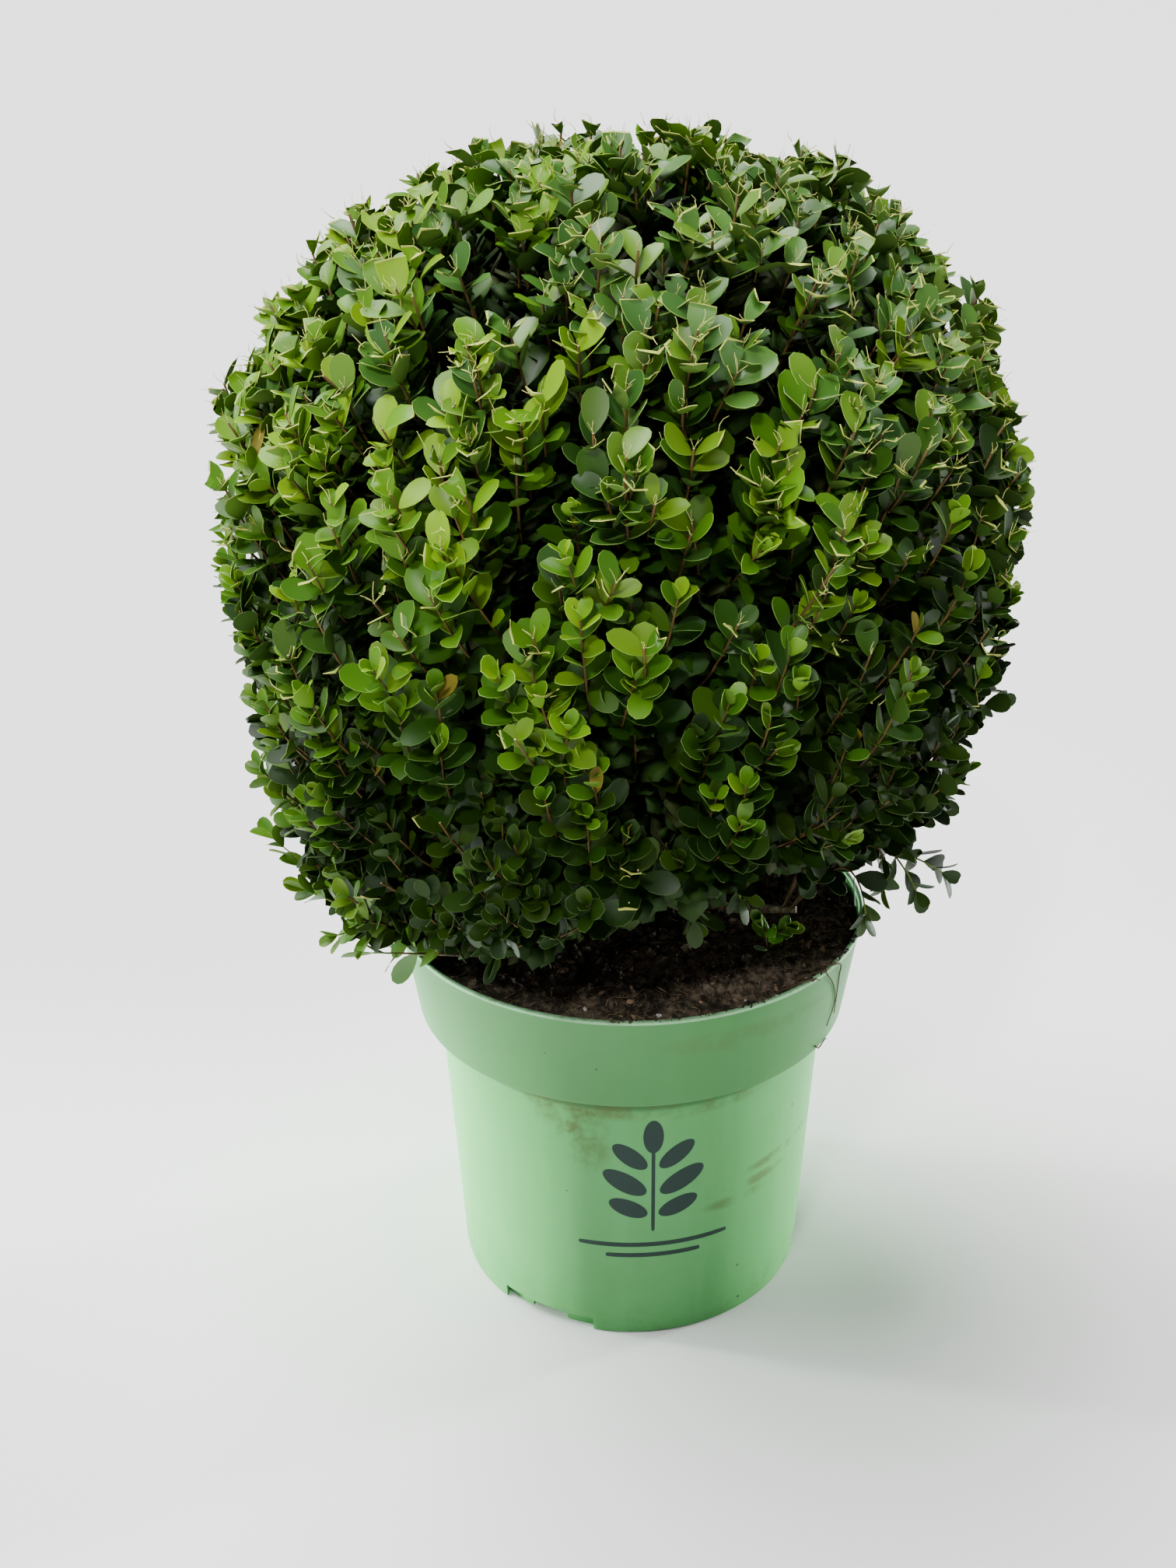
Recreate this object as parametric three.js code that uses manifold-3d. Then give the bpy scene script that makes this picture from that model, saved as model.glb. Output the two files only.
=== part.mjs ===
// A box topiary ball in a pale green nursery pot: a short stem, its boughs and a clipped ball of leaves.
// Millimetres, +Z up. The origin is on the ground under the middle of the pot, and -Y is the front.
import * as THREE from "three";
import { mergeVertices } from "three/addons/utils/BufferGeometryUtils.js";
import Module from "manifold-3d";

const wasm = await Module();
wasm.setup();

// Driving dimensions.
const gap = 0.3; // clearance between pieces that touch
const pot = {
  height: 242,
  rimRadius: 139.6,
  bandHeight: 62, // the wide collar below the rim
  bandFootRadius: 130.5,
  bodyTopRadius: 118.2,
  footRadius: 108.2,
  wall: 2.2,
  lip: 1, // how far the rolled rim stands proud
  floorLift: 9.5, // the underside of the floor above the ground
  innerFootInset: 4.6, // the second standing ring, inside the wall
  sides: 44,
};
// Drain notches in the foot: the angle of the first, its width, and the gate in the ring behind it.
const notch = { count: 3, firstAngle: 241.3, width: 62, gateWidth: 24 };
const soil = { level: 235, roughness: 1.5, flatRadius: 24, rings: 4, edgeFall: 3 };
const stem = { height: 50, topRadius: 10, flareRadius: 16, flareHeight: 9, lean: 2.5, sides: 10, steps: 7 };
const bough = { count: 6, footRadius: 5.4, tipRadius: 3.2, sides: 7, steps: 5 };
const lowBough = { footRadius: 3.6, tipRadius: 2.2 };
const crown = {
  middle: 472, // height of the widest part
  radius: 214,
  top: 682,
  bottom: 262,
  shoulder: 2.2, // power of the upper curve: 2 is an ellipse, more is squarer
  tuckIn: 0.57, // how far the lower half closes in
  shiftX: -4,
  underRadius: 112, // inner edge of the underside
  underLift: 10,
};
const core = { depth: 34, sides: 26, foot: 286, hollowRadius: 104, hollowRoof: 405, roofRadius: 44 };
const leaf = {
  length: 42,
  width: 29,
  thickness: 1.9,
  ribAt: 0.55, // where the blade is thickest
  fullness: 0.7, // below 1 moves the widest part towards the tip
  sides: 5,
  open: 0.85, // angle to the twig
};
const shoot = { count: 108, length: 58, footRadius: 2.6, tipRadius: 1.5, upright: 0.6 };
const shootPairs = [0.5, 0.76]; // where the leaf pairs sit along a shoot

const stemTop = soil.level + gap + stem.height;
const up = new THREE.Vector3(0, 0, 1);

// A small seeded generator, so that every build is the same.
function seeded(seed) {
  let state = seed;
  return () => {
    state = (state + 0x6d2b79f5) | 0;
    let t = Math.imul(state ^ (state >>> 15), 1 | state);
    t = (t + Math.imul(t ^ (t >>> 7), 61 | t)) ^ t;
    return ((t ^ (t >>> 14)) >>> 0) / 4294967296;
  };
}

// three.js geometry to a solid, and back.
function solidOf(geometry) {
  const bare = new THREE.BufferGeometry();
  bare.setAttribute("position", geometry.getAttribute("position").clone());
  if (geometry.index) bare.setIndex(geometry.index.clone());
  const merged = mergeVertices(bare, 1e-3);
  return new wasm.Manifold(
    new wasm.Mesh({
      numProp: 3,
      vertProperties: new Float32Array(merged.attributes.position.array),
      triVerts: new Uint32Array(merged.index.array),
    }),
  );
}

function geometryOf(solid) {
  const mesh = solid.getMesh();
  const geometry = new THREE.BufferGeometry();
  geometry.setAttribute("position", new THREE.BufferAttribute(new Float32Array(mesh.vertProperties), 3));
  geometry.setIndex(new THREE.BufferAttribute(new Uint32Array(mesh.triVerts), 1));
  geometry.computeVertexNormals();
  return geometry;
}

// Joins solids two by two, which keeps each step small.
function fuse(solids) {
  let round = [...solids];
  while (round.length > 1) {
    const next = [];
    for (let i = 0; i < round.length; i += 2)
      next.push(i + 1 < round.length ? round[i].add(round[i + 1]) : round[i]);
    round = next;
  }
  return round[0];
}

// The largest body of a solid: it drops loose scraps and fills hollows that fusing has sealed.
function mainBody(solid) {
  return solid.decompose().reduce((best, each) => (each.volume() > best.volume() ? each : best));
}

// A profile of [radius, height] pairs turned round the Z axis.
function turned(profile, sides) {
  const points = profile.map(([r, z]) => new THREE.Vector2(r, z));
  return new THREE.LatheGeometry(points, sides).rotateX(Math.PI / 2);
}

// The profile of a plain round block between two heights.
const block = (radius, low, high) => [
  [0, low],
  [radius, low],
  [radius, high],
  [0, high],
];

// A tapering limb: a cylinder bent along a curve. radiusAt takes 0 at the foot to 1 at the tip.
function limb(curve, radiusAt, sides, steps) {
  const geometry = new THREE.CylinderGeometry(1, 1, 1, sides, steps);
  const frames = curve.computeFrenetFrames(steps);
  const position = geometry.getAttribute("position");
  for (let i = 0; i < position.count; i++) {
    const share = position.getY(i) + 0.5;
    const step = Math.round(share * steps);
    const radius = radiusAt(share);
    const point = curve.getPointAt(share);
    point.addScaledVector(frames.normals[step], position.getX(i) * radius);
    point.addScaledVector(frames.binormals[step], -position.getZ(i) * radius);
    position.setXYZ(i, point.x, point.y, point.z);
  }
  return geometry;
}

// A point at a radius and angle round the Z axis.
const polar = (radius, angle, z) =>
  new THREE.Vector3(radius * Math.cos(angle), radius * Math.sin(angle), z);

// ---- Pot: one moulded shell with a rolled rim, a wide collar and two standing rings.
function potWall() {
  const { height, rimRadius, bandHeight, bandFootRadius, bodyTopRadius, footRadius, wall, lip } = pot;
  const step = height - bandHeight;
  const innerRing = footRadius - pot.innerFootInset;
  const floorTop = pot.floorLift + wall + 0.3;
  const outer = [
    [footRadius - wall, pot.floorLift],
    [footRadius - wall, 0],
    [footRadius - 1, 0],
    [footRadius, 1],
    [bodyTopRadius, step],
    [bandFootRadius - 2, step],
    [bandFootRadius, step + 2],
    [rimRadius - 0.4, height - 3],
    [rimRadius + lip, height - 2.4],
    [rimRadius + lip, height - 0.8],
    [rimRadius + lip - 0.8, height],
  ];
  const inner = [
    [rimRadius - wall, height],
    [bandFootRadius - wall, step + wall + 1],
    [bodyTopRadius - wall, step + wall],
    [footRadius - wall + 0.6, floorTop],
    [0, floorTop],
  ];
  const underside = [
    [0, pot.floorLift],
    [innerRing - wall, pot.floorLift],
    [innerRing - wall, 0],
    [innerRing, 0],
    [innerRing, pot.floorLift],
  ];
  return solidOf(turned([...underside, ...outer, ...inner], pot.sides));
}

// Each drain notch is cut through the wall, and a narrower gate behind it through the inner ring.
function notchCutters() {
  const innerRing = pot.footRadius - pot.innerFootInset;
  const reach = pot.footRadius + 6;
  const ringBlock = block(innerRing + 0.4, -pot.floorLift * 2, pot.floorLift * 2);
  const innerRingRoom = solidOf(turned(ringBlock, pot.sides));
  const cutters = [];
  for (let i = 0; i < notch.count; i++) {
    const angle = THREE.MathUtils.degToRad(notch.firstAngle + (360 / notch.count) * i);
    const start = innerRing - pot.wall - 4;
    const [wide, gate] = [notch.width, notch.gateWidth].map((width) => {
      const box = new THREE.BoxGeometry(reach - start, width, (pot.floorLift - 0.2) * 2);
      return solidOf(box.translate((reach + start) / 2, 0, 0).rotateZ(angle));
    });
    cutters.push(wide.subtract(innerRingRoom), gate);
  }
  return cutters;
}

function potSolid() {
  let shell = potWall();
  for (const cutter of notchCutters()) shell = shell.subtract(cutter);
  return shell;
}

// ---- Soil: it fills the pot to just under the rim, level round the stem and rough beyond.
function soilSolid() {
  const { height, bandHeight, bandFootRadius, bodyTopRadius, footRadius, wall, rimRadius } = pot;
  const step = height - bandHeight;
  const floorTop = pot.floorLift + wall + 0.3;
  const bandSlope = (rimRadius - bandFootRadius) / bandHeight;
  const edge = soil.level - soil.edgeFall;
  const topRadius = bandFootRadius - wall - gap - 0.3 + (edge - step - wall) * bandSlope;
  const profile = [
    [0, floorTop + gap],
    [footRadius - wall - gap + 0.5, floorTop + gap],
    [bodyTopRadius - wall - gap, step + wall + gap + 0.1],
    [bandFootRadius - wall - gap - 0.3, step + wall + 1.6],
    [topRadius, edge],
  ];
  const roughWidth = topRadius - 5 - soil.flatRadius;
  for (let i = 0; i < soil.rings; i++)
    profile.push([soil.flatRadius + roughWidth * (1 - i / soil.rings), soil.level]);
  profile.push([soil.flatRadius, soil.level], [0, soil.level]);
  const geometry = turned(profile, pot.sides);
  const position = geometry.getAttribute("position");
  for (let i = 0; i < position.count; i++) {
    const [x, y, z] = [position.getX(i), position.getY(i), position.getZ(i)];
    if (z < soil.level - 0.01 || Math.hypot(x, y) < soil.flatRadius + 1) continue;
    const swell = Math.sin(x * 0.093 + 1.3) * Math.cos(y * 0.081 - 0.4) + 0.7 * Math.sin((x + y) * 0.19);
    position.setZ(i, z + soil.roughness * swell);
  }
  return solidOf(geometry);
}

// ---- Stem: flared at its flat foot, tapering and leaning a little to its fork.
function stemSolid(extra) {
  const foot = soil.level + gap;
  const curve = new THREE.LineCurve3(
    new THREE.Vector3(0, 0, foot),
    new THREE.Vector3(stem.lean, -stem.lean / 2, stemTop + extra),
  );
  const radiusAt = (share) => {
    const rise = share * stem.height;
    const flare = (stem.flareRadius - stem.topRadius) * Math.exp(-rise / stem.flareHeight);
    return stem.topRadius + flare + extra;
  };
  const geometry = limb(curve, radiusAt, stem.sides, stem.steps);
  const position = geometry.getAttribute("position");
  for (let i = 0; i < position.count; i++) {
    if (extra === 0) position.setZ(i, Math.max(foot, position.getZ(i)));
    if (position.getZ(i) < foot + 0.4) position.setZ(i, foot - extra);
  }
  return solidOf(geometry);
}

// ---- Boughs: each leaves the side of the stem, curves up and ends where it enters the leaves.
function boughPlans() {
  const plans = [];
  for (let i = 0; i < bough.count; i++) {
    const angle = ((i + 0.35) / bough.count) * 2 * Math.PI;
    const leaves = stemTop - (i % 2 ? 22 : 8); // height where it leaves the stem
    const tipHeight = 362 + (i % 3) * 7;
    const slope = (core.hollowRadius - core.roofRadius) / (core.hollowRoof - core.foot);
    const tipRadius = core.hollowRadius - (tipHeight - core.foot) * slope - 12;
    plans.push({
      name: `bough_${i + 1}`,
      points: [
        polar(2, angle, leaves - 4),
        polar(20, angle + 0.05, leaves + 12),
        polar(tipRadius * 0.72, angle + 0.14, (leaves + tipHeight) / 2 + 4),
        polar(tipRadius, angle + 0.1, tipHeight),
      ],
      foot: bough.footRadius,
      tip: bough.tipRadius,
      entersBall: true,
    });
  }
  plans.push({
    name: "leader",
    points: [
      new THREE.Vector3(stem.lean, -stem.lean / 2, stemTop - 4),
      new THREE.Vector3(4, 3, stemTop + 30),
      new THREE.Vector3(-3, -2, stemTop + 75),
      new THREE.Vector3(crown.shiftX, 0, core.hollowRoof - 14),
    ],
    foot: bough.footRadius + 0.4,
    tip: bough.tipRadius,
    entersBall: true,
  });
  // Two low boughs run out just over the soil, under the ball, to the loose sprays.
  for (const [name, side, angle, reach] of [
    ["bough_low_left", -1, 201, 122],
    ["bough_low_right", 1, 338, 104],
  ]) {
    const turn = THREE.MathUtils.degToRad(angle);
    plans.push({
      name,
      points: [
        polar(2, turn, soil.level + 9),
        polar(26, turn + side * 0.06, soil.level + 13),
        polar(reach * 0.62, turn - side * 0.04, soil.level + 14),
        polar(reach, turn, soil.level + 20),
      ],
      foot: lowBough.footRadius,
      tip: lowBough.tipRadius,
      entersBall: false,
    });
  }
  return plans;
}

function boughSolid(plan, extra) {
  const curve = new THREE.CatmullRomCurve3(plan.points);
  const radiusAt = (share) => plan.foot + (plan.tip - plan.foot) * share + extra;
  return solidOf(limb(curve, radiusAt, bough.sides, bough.steps));
}

// ---- Crown: the clipped outline, from the middle of the top down the side and in under the ball.
function crownRadius(z) {
  if (z >= crown.middle) {
    const share = Math.min(1, (z - crown.middle) / (crown.top - crown.middle));
    return crown.radius * Math.sqrt(1 - share ** crown.shoulder);
  }
  const share = Math.min(1, (crown.middle - z) / (crown.middle - crown.bottom));
  return crown.radius * Math.sqrt(1 - (crown.tuckIn * share) ** 2);
}

function crownOutline() {
  const outline = [];
  for (let i = 0; i <= 24; i++) {
    const z = crown.middle + (crown.top - crown.middle) * Math.cos((i / 24) * (Math.PI / 2));
    outline.push(new THREE.Vector2(crownRadius(z), z));
  }
  for (let i = 1; i <= 14; i++) {
    const z = crown.middle + (crown.bottom - crown.middle) * (i / 14);
    outline.push(new THREE.Vector2(crownRadius(z), z));
  }
  outline.push(new THREE.Vector2(crown.underRadius, crown.bottom + crown.underLift));
  return outline;
}

// Evenly spread points on the clipped surface: equal areas down the outline, a golden angle apart.
function* surfacePoints(count, random) {
  const outline = crownOutline();
  const areas = [0];
  for (let i = 1; i < outline.length; i++) {
    const [a, b] = [outline[i - 1], outline[i]];
    areas.push(areas[i - 1] + a.distanceTo(b) * (a.x + b.x));
  }
  const golden = Math.PI * (3 - Math.sqrt(5));
  for (let i = 0; i < count; i++) {
    const area = ((i + 0.5) / count) * areas.at(-1);
    const k = areas.findIndex((value) => value >= area);
    const share = (area - areas[k - 1]) / (areas[k] - areas[k - 1]);
    const point = outline[k - 1].clone().lerp(outline[k], share);
    const along = outline[k].clone().sub(outline[k - 1]).normalize();
    const angle = i * golden + (random() - 0.5) * 0.3;
    const tip = polar(point.x, angle, point.y);
    tip.x += crown.shiftX;
    const normal = polar(-along.y, angle, along.x);
    yield { tip, normal };
  }
}

// ---- Core: the dense twiggy inside of the clipped ball, hollow underneath round the boughs.
function coreSolid() {
  const scale = (crown.radius - core.depth) / crown.radius;
  const outer = [];
  for (let i = 0; i <= 7; i++) {
    const z = crown.middle + (crown.top - core.depth - crown.middle) * Math.cos((i / 7) * (Math.PI / 2));
    const even = crown.middle + ((z - crown.middle) * (crown.top - crown.middle)) /
      (crown.top - core.depth - crown.middle);
    outer.push([crownRadius(even) * scale, z]);
  }
  for (let i = 1; i <= 3; i++) {
    const z = crown.middle + (core.foot - crown.middle) * (i / 3);
    outer.push([crownRadius(z) * scale, z]);
  }
  const hollow = [
    [core.hollowRadius, core.foot],
    [core.roofRadius, core.hollowRoof],
    [0, core.hollowRoof],
  ];
  const profile = [...hollow.reverse(), ...outer.reverse()];
  profile.at(-1)[0] = 0;
  return solidOf(turned(profile, core.sides).translate(crown.shiftX, 0, 0));
}

// A leaf: a thin blade with a pointed root, widest past its middle and thickest on its midrib.
function leafSolid(root, direction, face, size) {
  const blade = new THREE.SphereGeometry(1, leaf.sides, 2).rotateX(Math.PI / 2);
  const position = blade.getAttribute("position");
  for (let i = 0; i < position.count; i++) {
    const rib = Math.round(position.getZ(i)); // 1 and -1 on the midrib, 0 round the edge
    const along = rib ? leaf.ribAt : Math.max(0, (1 + position.getX(i)) / 2) ** leaf.fullness;
    const across = rib ? 0 : position.getY(i) / 2;
    position.setXYZ(i, along * leaf.length * size, across * leaf.width * size, (rib * leaf.thickness) / 2);
  }
  const side = new THREE.Vector3().crossVectors(face, direction);
  const frame = new THREE.Matrix4().makeBasis(direction, side, face).setPosition(root);
  return solidOf(blade.applyMatrix4(frame));
}

// A twig: a three-sided tapering bar from its root to its tip.
function twigSolid(root, tip) {
  const length = root.distanceTo(tip);
  const geometry = new THREE.CylinderGeometry(shoot.tipRadius, shoot.footRadius, length, 3);
  geometry.translate(0, length / 2, 0);
  const turn = new THREE.Quaternion().setFromUnitVectors(
    new THREE.Vector3(0, 1, 0),
    tip.clone().sub(root).normalize(),
  );
  return solidOf(geometry.applyQuaternion(turn).translate(root.x, root.y, root.z));
}

// Leaves in opposite pairs along a twig, each pair turned a quarter from the last.
function* leafPairs(root, tip, places, size, turn, random) {
  const direction = tip.clone().sub(root).normalize();
  const away = Math.abs(direction.z) > 0.9 ? new THREE.Vector3(1, 0, 0) : up;
  const side = new THREE.Vector3().crossVectors(direction, away).normalize();
  for (const [k, place] of places.entries()) {
    const young = k / places.length; // the leaves nearer the tip are smaller and less open
    for (const half of [0, Math.PI]) {
      const about = side.clone().applyAxisAngle(direction, turn + half + (k * Math.PI) / 2);
      const open = leaf.open * (1.12 - 0.45 * young) + (random() - 0.5) * 0.3;
      const out = direction.clone().multiplyScalar(Math.cos(open)).addScaledVector(about, Math.sin(open));
      const face = direction.clone().addScaledVector(out, -direction.dot(out)).normalize();
      const from = root.clone().lerp(tip, place).addScaledVector(out, gap / 2);
      const scale = size * (1 - 0.22 * young) * (0.9 + 0.2 * random());
      yield { from, out, face, scale };
    }
  }
}

const insideCrown = (point) => {
  const radius = Math.hypot(point.x - crown.shiftX, point.y);
  return point.z < crown.top && point.z > crown.bottom - 8 && radius < crownRadius(point.z) + 2;
};

// The clipped ball: its core, short stubs that carry on from the boughs, and shoots all over it.
// A twig that would touch a limb, and a leaf that would touch a limb or another leaf or leave the
// ball's outline, is left out.
function ballSolid(plans, limbs) {
  const random = seeded(20260411);
  const solids = [coreSolid()];
  for (const plan of plans.filter((each) => each.entersBall)) {
    const curve = new THREE.CatmullRomCurve3(plan.points);
    const tip = curve.getPointAt(1);
    const direction = curve.getTangentAt(1);
    const stub = new THREE.LineCurve3(
      tip.clone().addScaledVector(direction, gap),
      tip.clone().addScaledVector(direction, core.depth),
    );
    solids.push(solidOf(limb(stub, (share) => plan.tip - share, bough.sides, 1)));
  }
  const clear = fuse(limbs);
  const blades = [];
  for (const { tip, normal } of surfacePoints(shoot.count, random)) {
    const lift = shoot.upright * (1 - Math.max(0, normal.z));
    const direction = normal.clone().addScaledVector(up, lift).normalize();
    const root = tip.clone().addScaledVector(direction, -shoot.length);
    const end = tip.clone().addScaledVector(direction, -1 - 7 * random());
    const twig = twigSolid(root, end);
    const turn = random() * Math.PI;
    if (!twig.intersect(clear).isEmpty()) continue;
    solids.push(twig);
    for (const { from, out, face, scale } of leafPairs(root, end, shootPairs, 1, turn, random)) {
      const farAt = (share) => from.clone().addScaledVector(out, leaf.length * scale * share);
      const trim = [1, 0.85, 0.7].find((share) => insideCrown(farAt(share)));
      if (!trim) continue;
      const middle = farAt(trim / 2);
      const blade = leafSolid(from, out, face, scale * trim);
      const near = blades.filter((other) => other.middle.distanceTo(middle) < leaf.length);
      const obstacles = [clear, ...near.map((other) => other.blade)];
      if (obstacles.some((obstacle) => !blade.intersect(obstacle).isEmpty())) continue;
      blades.push({ blade, middle });
      solids.push(blade);
    }
  }
  return mainBody(fuse(solids));
}

// The room that the filled pot takes up, which loose leaves stay out of.
function potRoom() {
  return solidOf(turned(block(pot.rimRadius + pot.lip + 1, 0, pot.height + 1), pot.sides));
}

// A loose spray: a thin tapering stem through the given points, with leaves in pairs along it.
function spraySolid({ points, radius, size, pairs, seed }) {
  const random = seeded(seed);
  const room = potRoom();
  const curve = new THREE.CatmullRomCurve3(points);
  const solids = [solidOf(limb(curve, (share) => radius * (1 - 0.6 * share), 6, 4))];
  for (let k = 0; k < pairs; k++) {
    const share = 0.3 + (0.68 * k) / (pairs - 1);
    const here = curve.getPointAt(share);
    const ahead = here.clone().addScaledVector(curve.getTangentAt(share), 10);
    const turn = (k * Math.PI) / 2 + 0.5;
    for (const { from, out, face, scale } of leafPairs(here, ahead, [0], size, turn, random)) {
      const blade = leafSolid(from, out, face, scale);
      if (blade.intersect(room).isEmpty()) solids.push(blade);
    }
  }
  return mainBody(fuse(solids));
}

// ---- The whole plant.
const colour = {
  pot: new THREE.MeshStandardMaterial({ color: 0x8fcf96, roughness: 0.55, metalness: 0 }),
  soil: new THREE.MeshStandardMaterial({ color: 0x2c211b, roughness: 0.95, metalness: 0 }),
  bark: new THREE.MeshStandardMaterial({ color: 0x6b5336, roughness: 0.85, metalness: 0 }),
  leaf: new THREE.MeshStandardMaterial({ color: 0x2f5a1e, roughness: 0.4, metalness: 0 }),
};

const plant = new THREE.Group();
plant.name = "box_topiary_ball";

function add(name, solid, material) {
  const mesh = new THREE.Mesh(geometryOf(solid), material);
  mesh.name = name;
  plant.add(mesh);
}

const plans = boughPlans();
const limbs = [stemSolid(1)];
const stemRoom = stemSolid(gap);
add("pot", potSolid(), colour.pot);
add("stem", stemSolid(0), colour.bark);
for (const plan of plans) {
  add(plan.name, boughSolid(plan, 0).subtract(stemRoom), colour.bark);
  limbs.push(boughSolid(plan, gap));
}

// The loose sprays go on from the tips of the low boughs, out over the rim.
const sprays = [
  { name: "low_spray_left", from: "bough_low_left", out: [-72, -24, -10], seed: 5 },
  { name: "low_spray_right", from: "bough_low_right", out: [68, -20, -9], seed: 11 },
];
for (const { name, from, out, seed } of sprays) {
  const plan = plans.find((each) => each.name === from);
  const curve = new THREE.CatmullRomCurve3(plan.points);
  const direction = curve.getTangentAt(1);
  const start = curve.getPointAt(1).addScaledVector(direction, gap);
  const end = start.clone().add(new THREE.Vector3(...out));
  const early = start.clone().addScaledVector(direction, 8);
  const middle = start.clone().lerp(end, 0.5).addScaledVector(up, 9);
  const points = [start, early, middle, end];
  const spray = spraySolid({ points, radius: plan.tip, size: 0.64, pairs: 5, seed });
  add(name, spray, colour.leaf);
  limbs.push(spray);
}

// A young shoot comes up through a hole in the soil near the front of the pot.
const shootFoot = new THREE.Vector3(80, -50, soil.level - 5);
const shootPoints = [[0, 0, 0], [0, 0, 9], [-3, -5, 18], [-9, -9, 25]].map((step) =>
  shootFoot.clone().add(new THREE.Vector3(...step)),
);
const youngShoot = { points: shootPoints, radius: 1.5, size: 0.46, pairs: 3, seed: 3 };
const basal = spraySolid(youngShoot);
const shootHole = turned(block(youngShoot.radius + 3 * gap, -gap, 12), 6);
const shootRoom = solidOf(shootHole.translate(...shootFoot.toArray()));
add("soil", soilSolid().subtract(shootRoom), colour.soil);
add("basal_shoot", basal, colour.leaf);
limbs.push(basal);

add("foliage_ball", ballSolid(plans, limbs), colour.leaf);

export default plant;
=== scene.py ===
import math

import bpy
import numpy as np
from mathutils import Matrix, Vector


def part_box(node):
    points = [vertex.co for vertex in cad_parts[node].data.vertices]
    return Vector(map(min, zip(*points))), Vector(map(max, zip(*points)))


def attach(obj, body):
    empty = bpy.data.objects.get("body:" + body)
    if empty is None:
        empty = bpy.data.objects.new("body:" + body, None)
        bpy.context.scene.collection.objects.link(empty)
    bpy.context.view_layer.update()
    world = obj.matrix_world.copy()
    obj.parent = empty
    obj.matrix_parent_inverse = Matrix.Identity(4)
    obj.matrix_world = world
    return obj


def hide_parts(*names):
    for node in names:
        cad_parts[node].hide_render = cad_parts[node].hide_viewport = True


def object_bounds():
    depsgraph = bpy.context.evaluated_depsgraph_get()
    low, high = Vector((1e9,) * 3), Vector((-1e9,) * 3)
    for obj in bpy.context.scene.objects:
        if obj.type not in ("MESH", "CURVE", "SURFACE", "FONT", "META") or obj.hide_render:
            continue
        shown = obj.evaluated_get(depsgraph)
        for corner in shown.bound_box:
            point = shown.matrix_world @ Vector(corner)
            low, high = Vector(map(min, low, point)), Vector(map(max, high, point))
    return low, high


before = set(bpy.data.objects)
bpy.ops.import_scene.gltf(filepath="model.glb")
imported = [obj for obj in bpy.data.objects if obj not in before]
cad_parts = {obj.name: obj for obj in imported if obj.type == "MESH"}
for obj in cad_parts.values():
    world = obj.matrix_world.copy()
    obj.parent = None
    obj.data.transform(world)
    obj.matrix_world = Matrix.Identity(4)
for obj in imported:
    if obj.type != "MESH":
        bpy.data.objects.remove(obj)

cadBox = [list(corner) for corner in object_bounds()]
bpy.ops.object.select_all(action="DESELECT")
print("frame loaded:", len(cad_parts), "nodes")

mm = 0.001


# camera and studio
view = {
    "focalPixels": 2200,  # for a frame 2016 pixels tall
    "frameHeight": 2016,
    "place": (0.0, -0.9152, 0.7383),
    "pitch": 24.69,  # degrees below the horizon
    "shiftPixels": -55,
    "sensorWidth": 36,  # mm
}
studio = {
    "floorColour": (0.88, 0.88, 0.88),
    "floorSize": 4000,
    "floorDrop": 0.5 * mm,  # below the pot's foot
    "skyColour": (1.0, 1.0, 1.0),
    "skyStrength": 0.27,
    "sunStrength": 9.0,
    "sunFrom": (-0.38, 0.16, 1.0),
    "sunSpread": 55,  # degrees
    "lamps": [
        # name, place, aim, size, power, colour, spread in degrees
        ("leftBack", (-1.7, 0.35, 0.16), (0, 0, 0.10), 0.3, 2.7, (0.80, 1.0, 0.84), 15),
        ("rightBack", (1.6, 0.72, 0.20), (0, 0, 0.09), 0.3, 1.6, (0.88, 1.0, 0.90), 15),
        ("frontFill", (-0.5, -1.6, 2.0), (-0.02, -0.15, 0.56), 0.5, 0.55, (1.0, 1.0, 0.94), 10),
    ],
}


def aimedAt(place, aim):
    return (Vector(aim) - Vector(place)).to_track_quat("-Z", "Y").to_euler()


def makeCamera():
    turn = (math.radians(90 - view["pitch"]), 0, 0)
    bpy.ops.object.camera_add(location=view["place"], rotation=turn)
    camera = bpy.context.object
    camera.name = "mainCamera"
    camera.data.sensor_width = view["sensorWidth"]
    camera.data.lens = view["sensorWidth"] * view["focalPixels"] / view["frameHeight"]
    camera.data.shift_x = view["shiftPixels"] / view["frameHeight"]
    camera.data.clip_start = 0.01
    bpy.context.scene.camera = camera


def makeStudio():
    for name, place, aim, size, power, colour, spread in studio["lamps"]:
        bpy.ops.object.light_add(type="AREA", location=place, rotation=aimedAt(place, aim))
        lamp = bpy.context.object
        lamp.name = name
        lamp.data.shape = "DISK"
        lamp.data.size = size
        lamp.data.energy = power
        lamp.data.color = colour
        lamp.data.spread = math.radians(spread)
    sunTurn = aimedAt(studio["sunFrom"], (0, 0, 0))
    bpy.ops.object.light_add(type="SUN", location=studio["sunFrom"], rotation=sunTurn)
    sun = bpy.context.object
    sun.name = "softSun"
    sun.data.energy = studio["sunStrength"]
    sun.data.angle = math.radians(studio["sunSpread"])
    world = bpy.data.worlds.new("studioWorld")
    world.use_nodes = True
    sky = world.node_tree.nodes["Background"]
    sky.inputs["Color"].default_value = (*studio["skyColour"], 1)
    sky.inputs["Strength"].default_value = studio["skyStrength"]
    bpy.context.scene.world = world
    bpy.ops.mesh.primitive_plane_add(size=studio["floorSize"], location=(0, 0, -studio["floorDrop"]))
    floor = bpy.context.object
    floor.name = "studioFloor"
    paint = bpy.data.materials.new("floorPaint")
    paint.use_nodes = True
    shader = paint.node_tree.nodes["Principled BSDF"]
    shader.inputs["Base Color"].default_value = (*studio["floorColour"], 1)
    shader.inputs["Roughness"].default_value = 0.9
    floor.data.materials.append(paint)


makeCamera()
makeStudio()
print("camera and studio ready")


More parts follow.
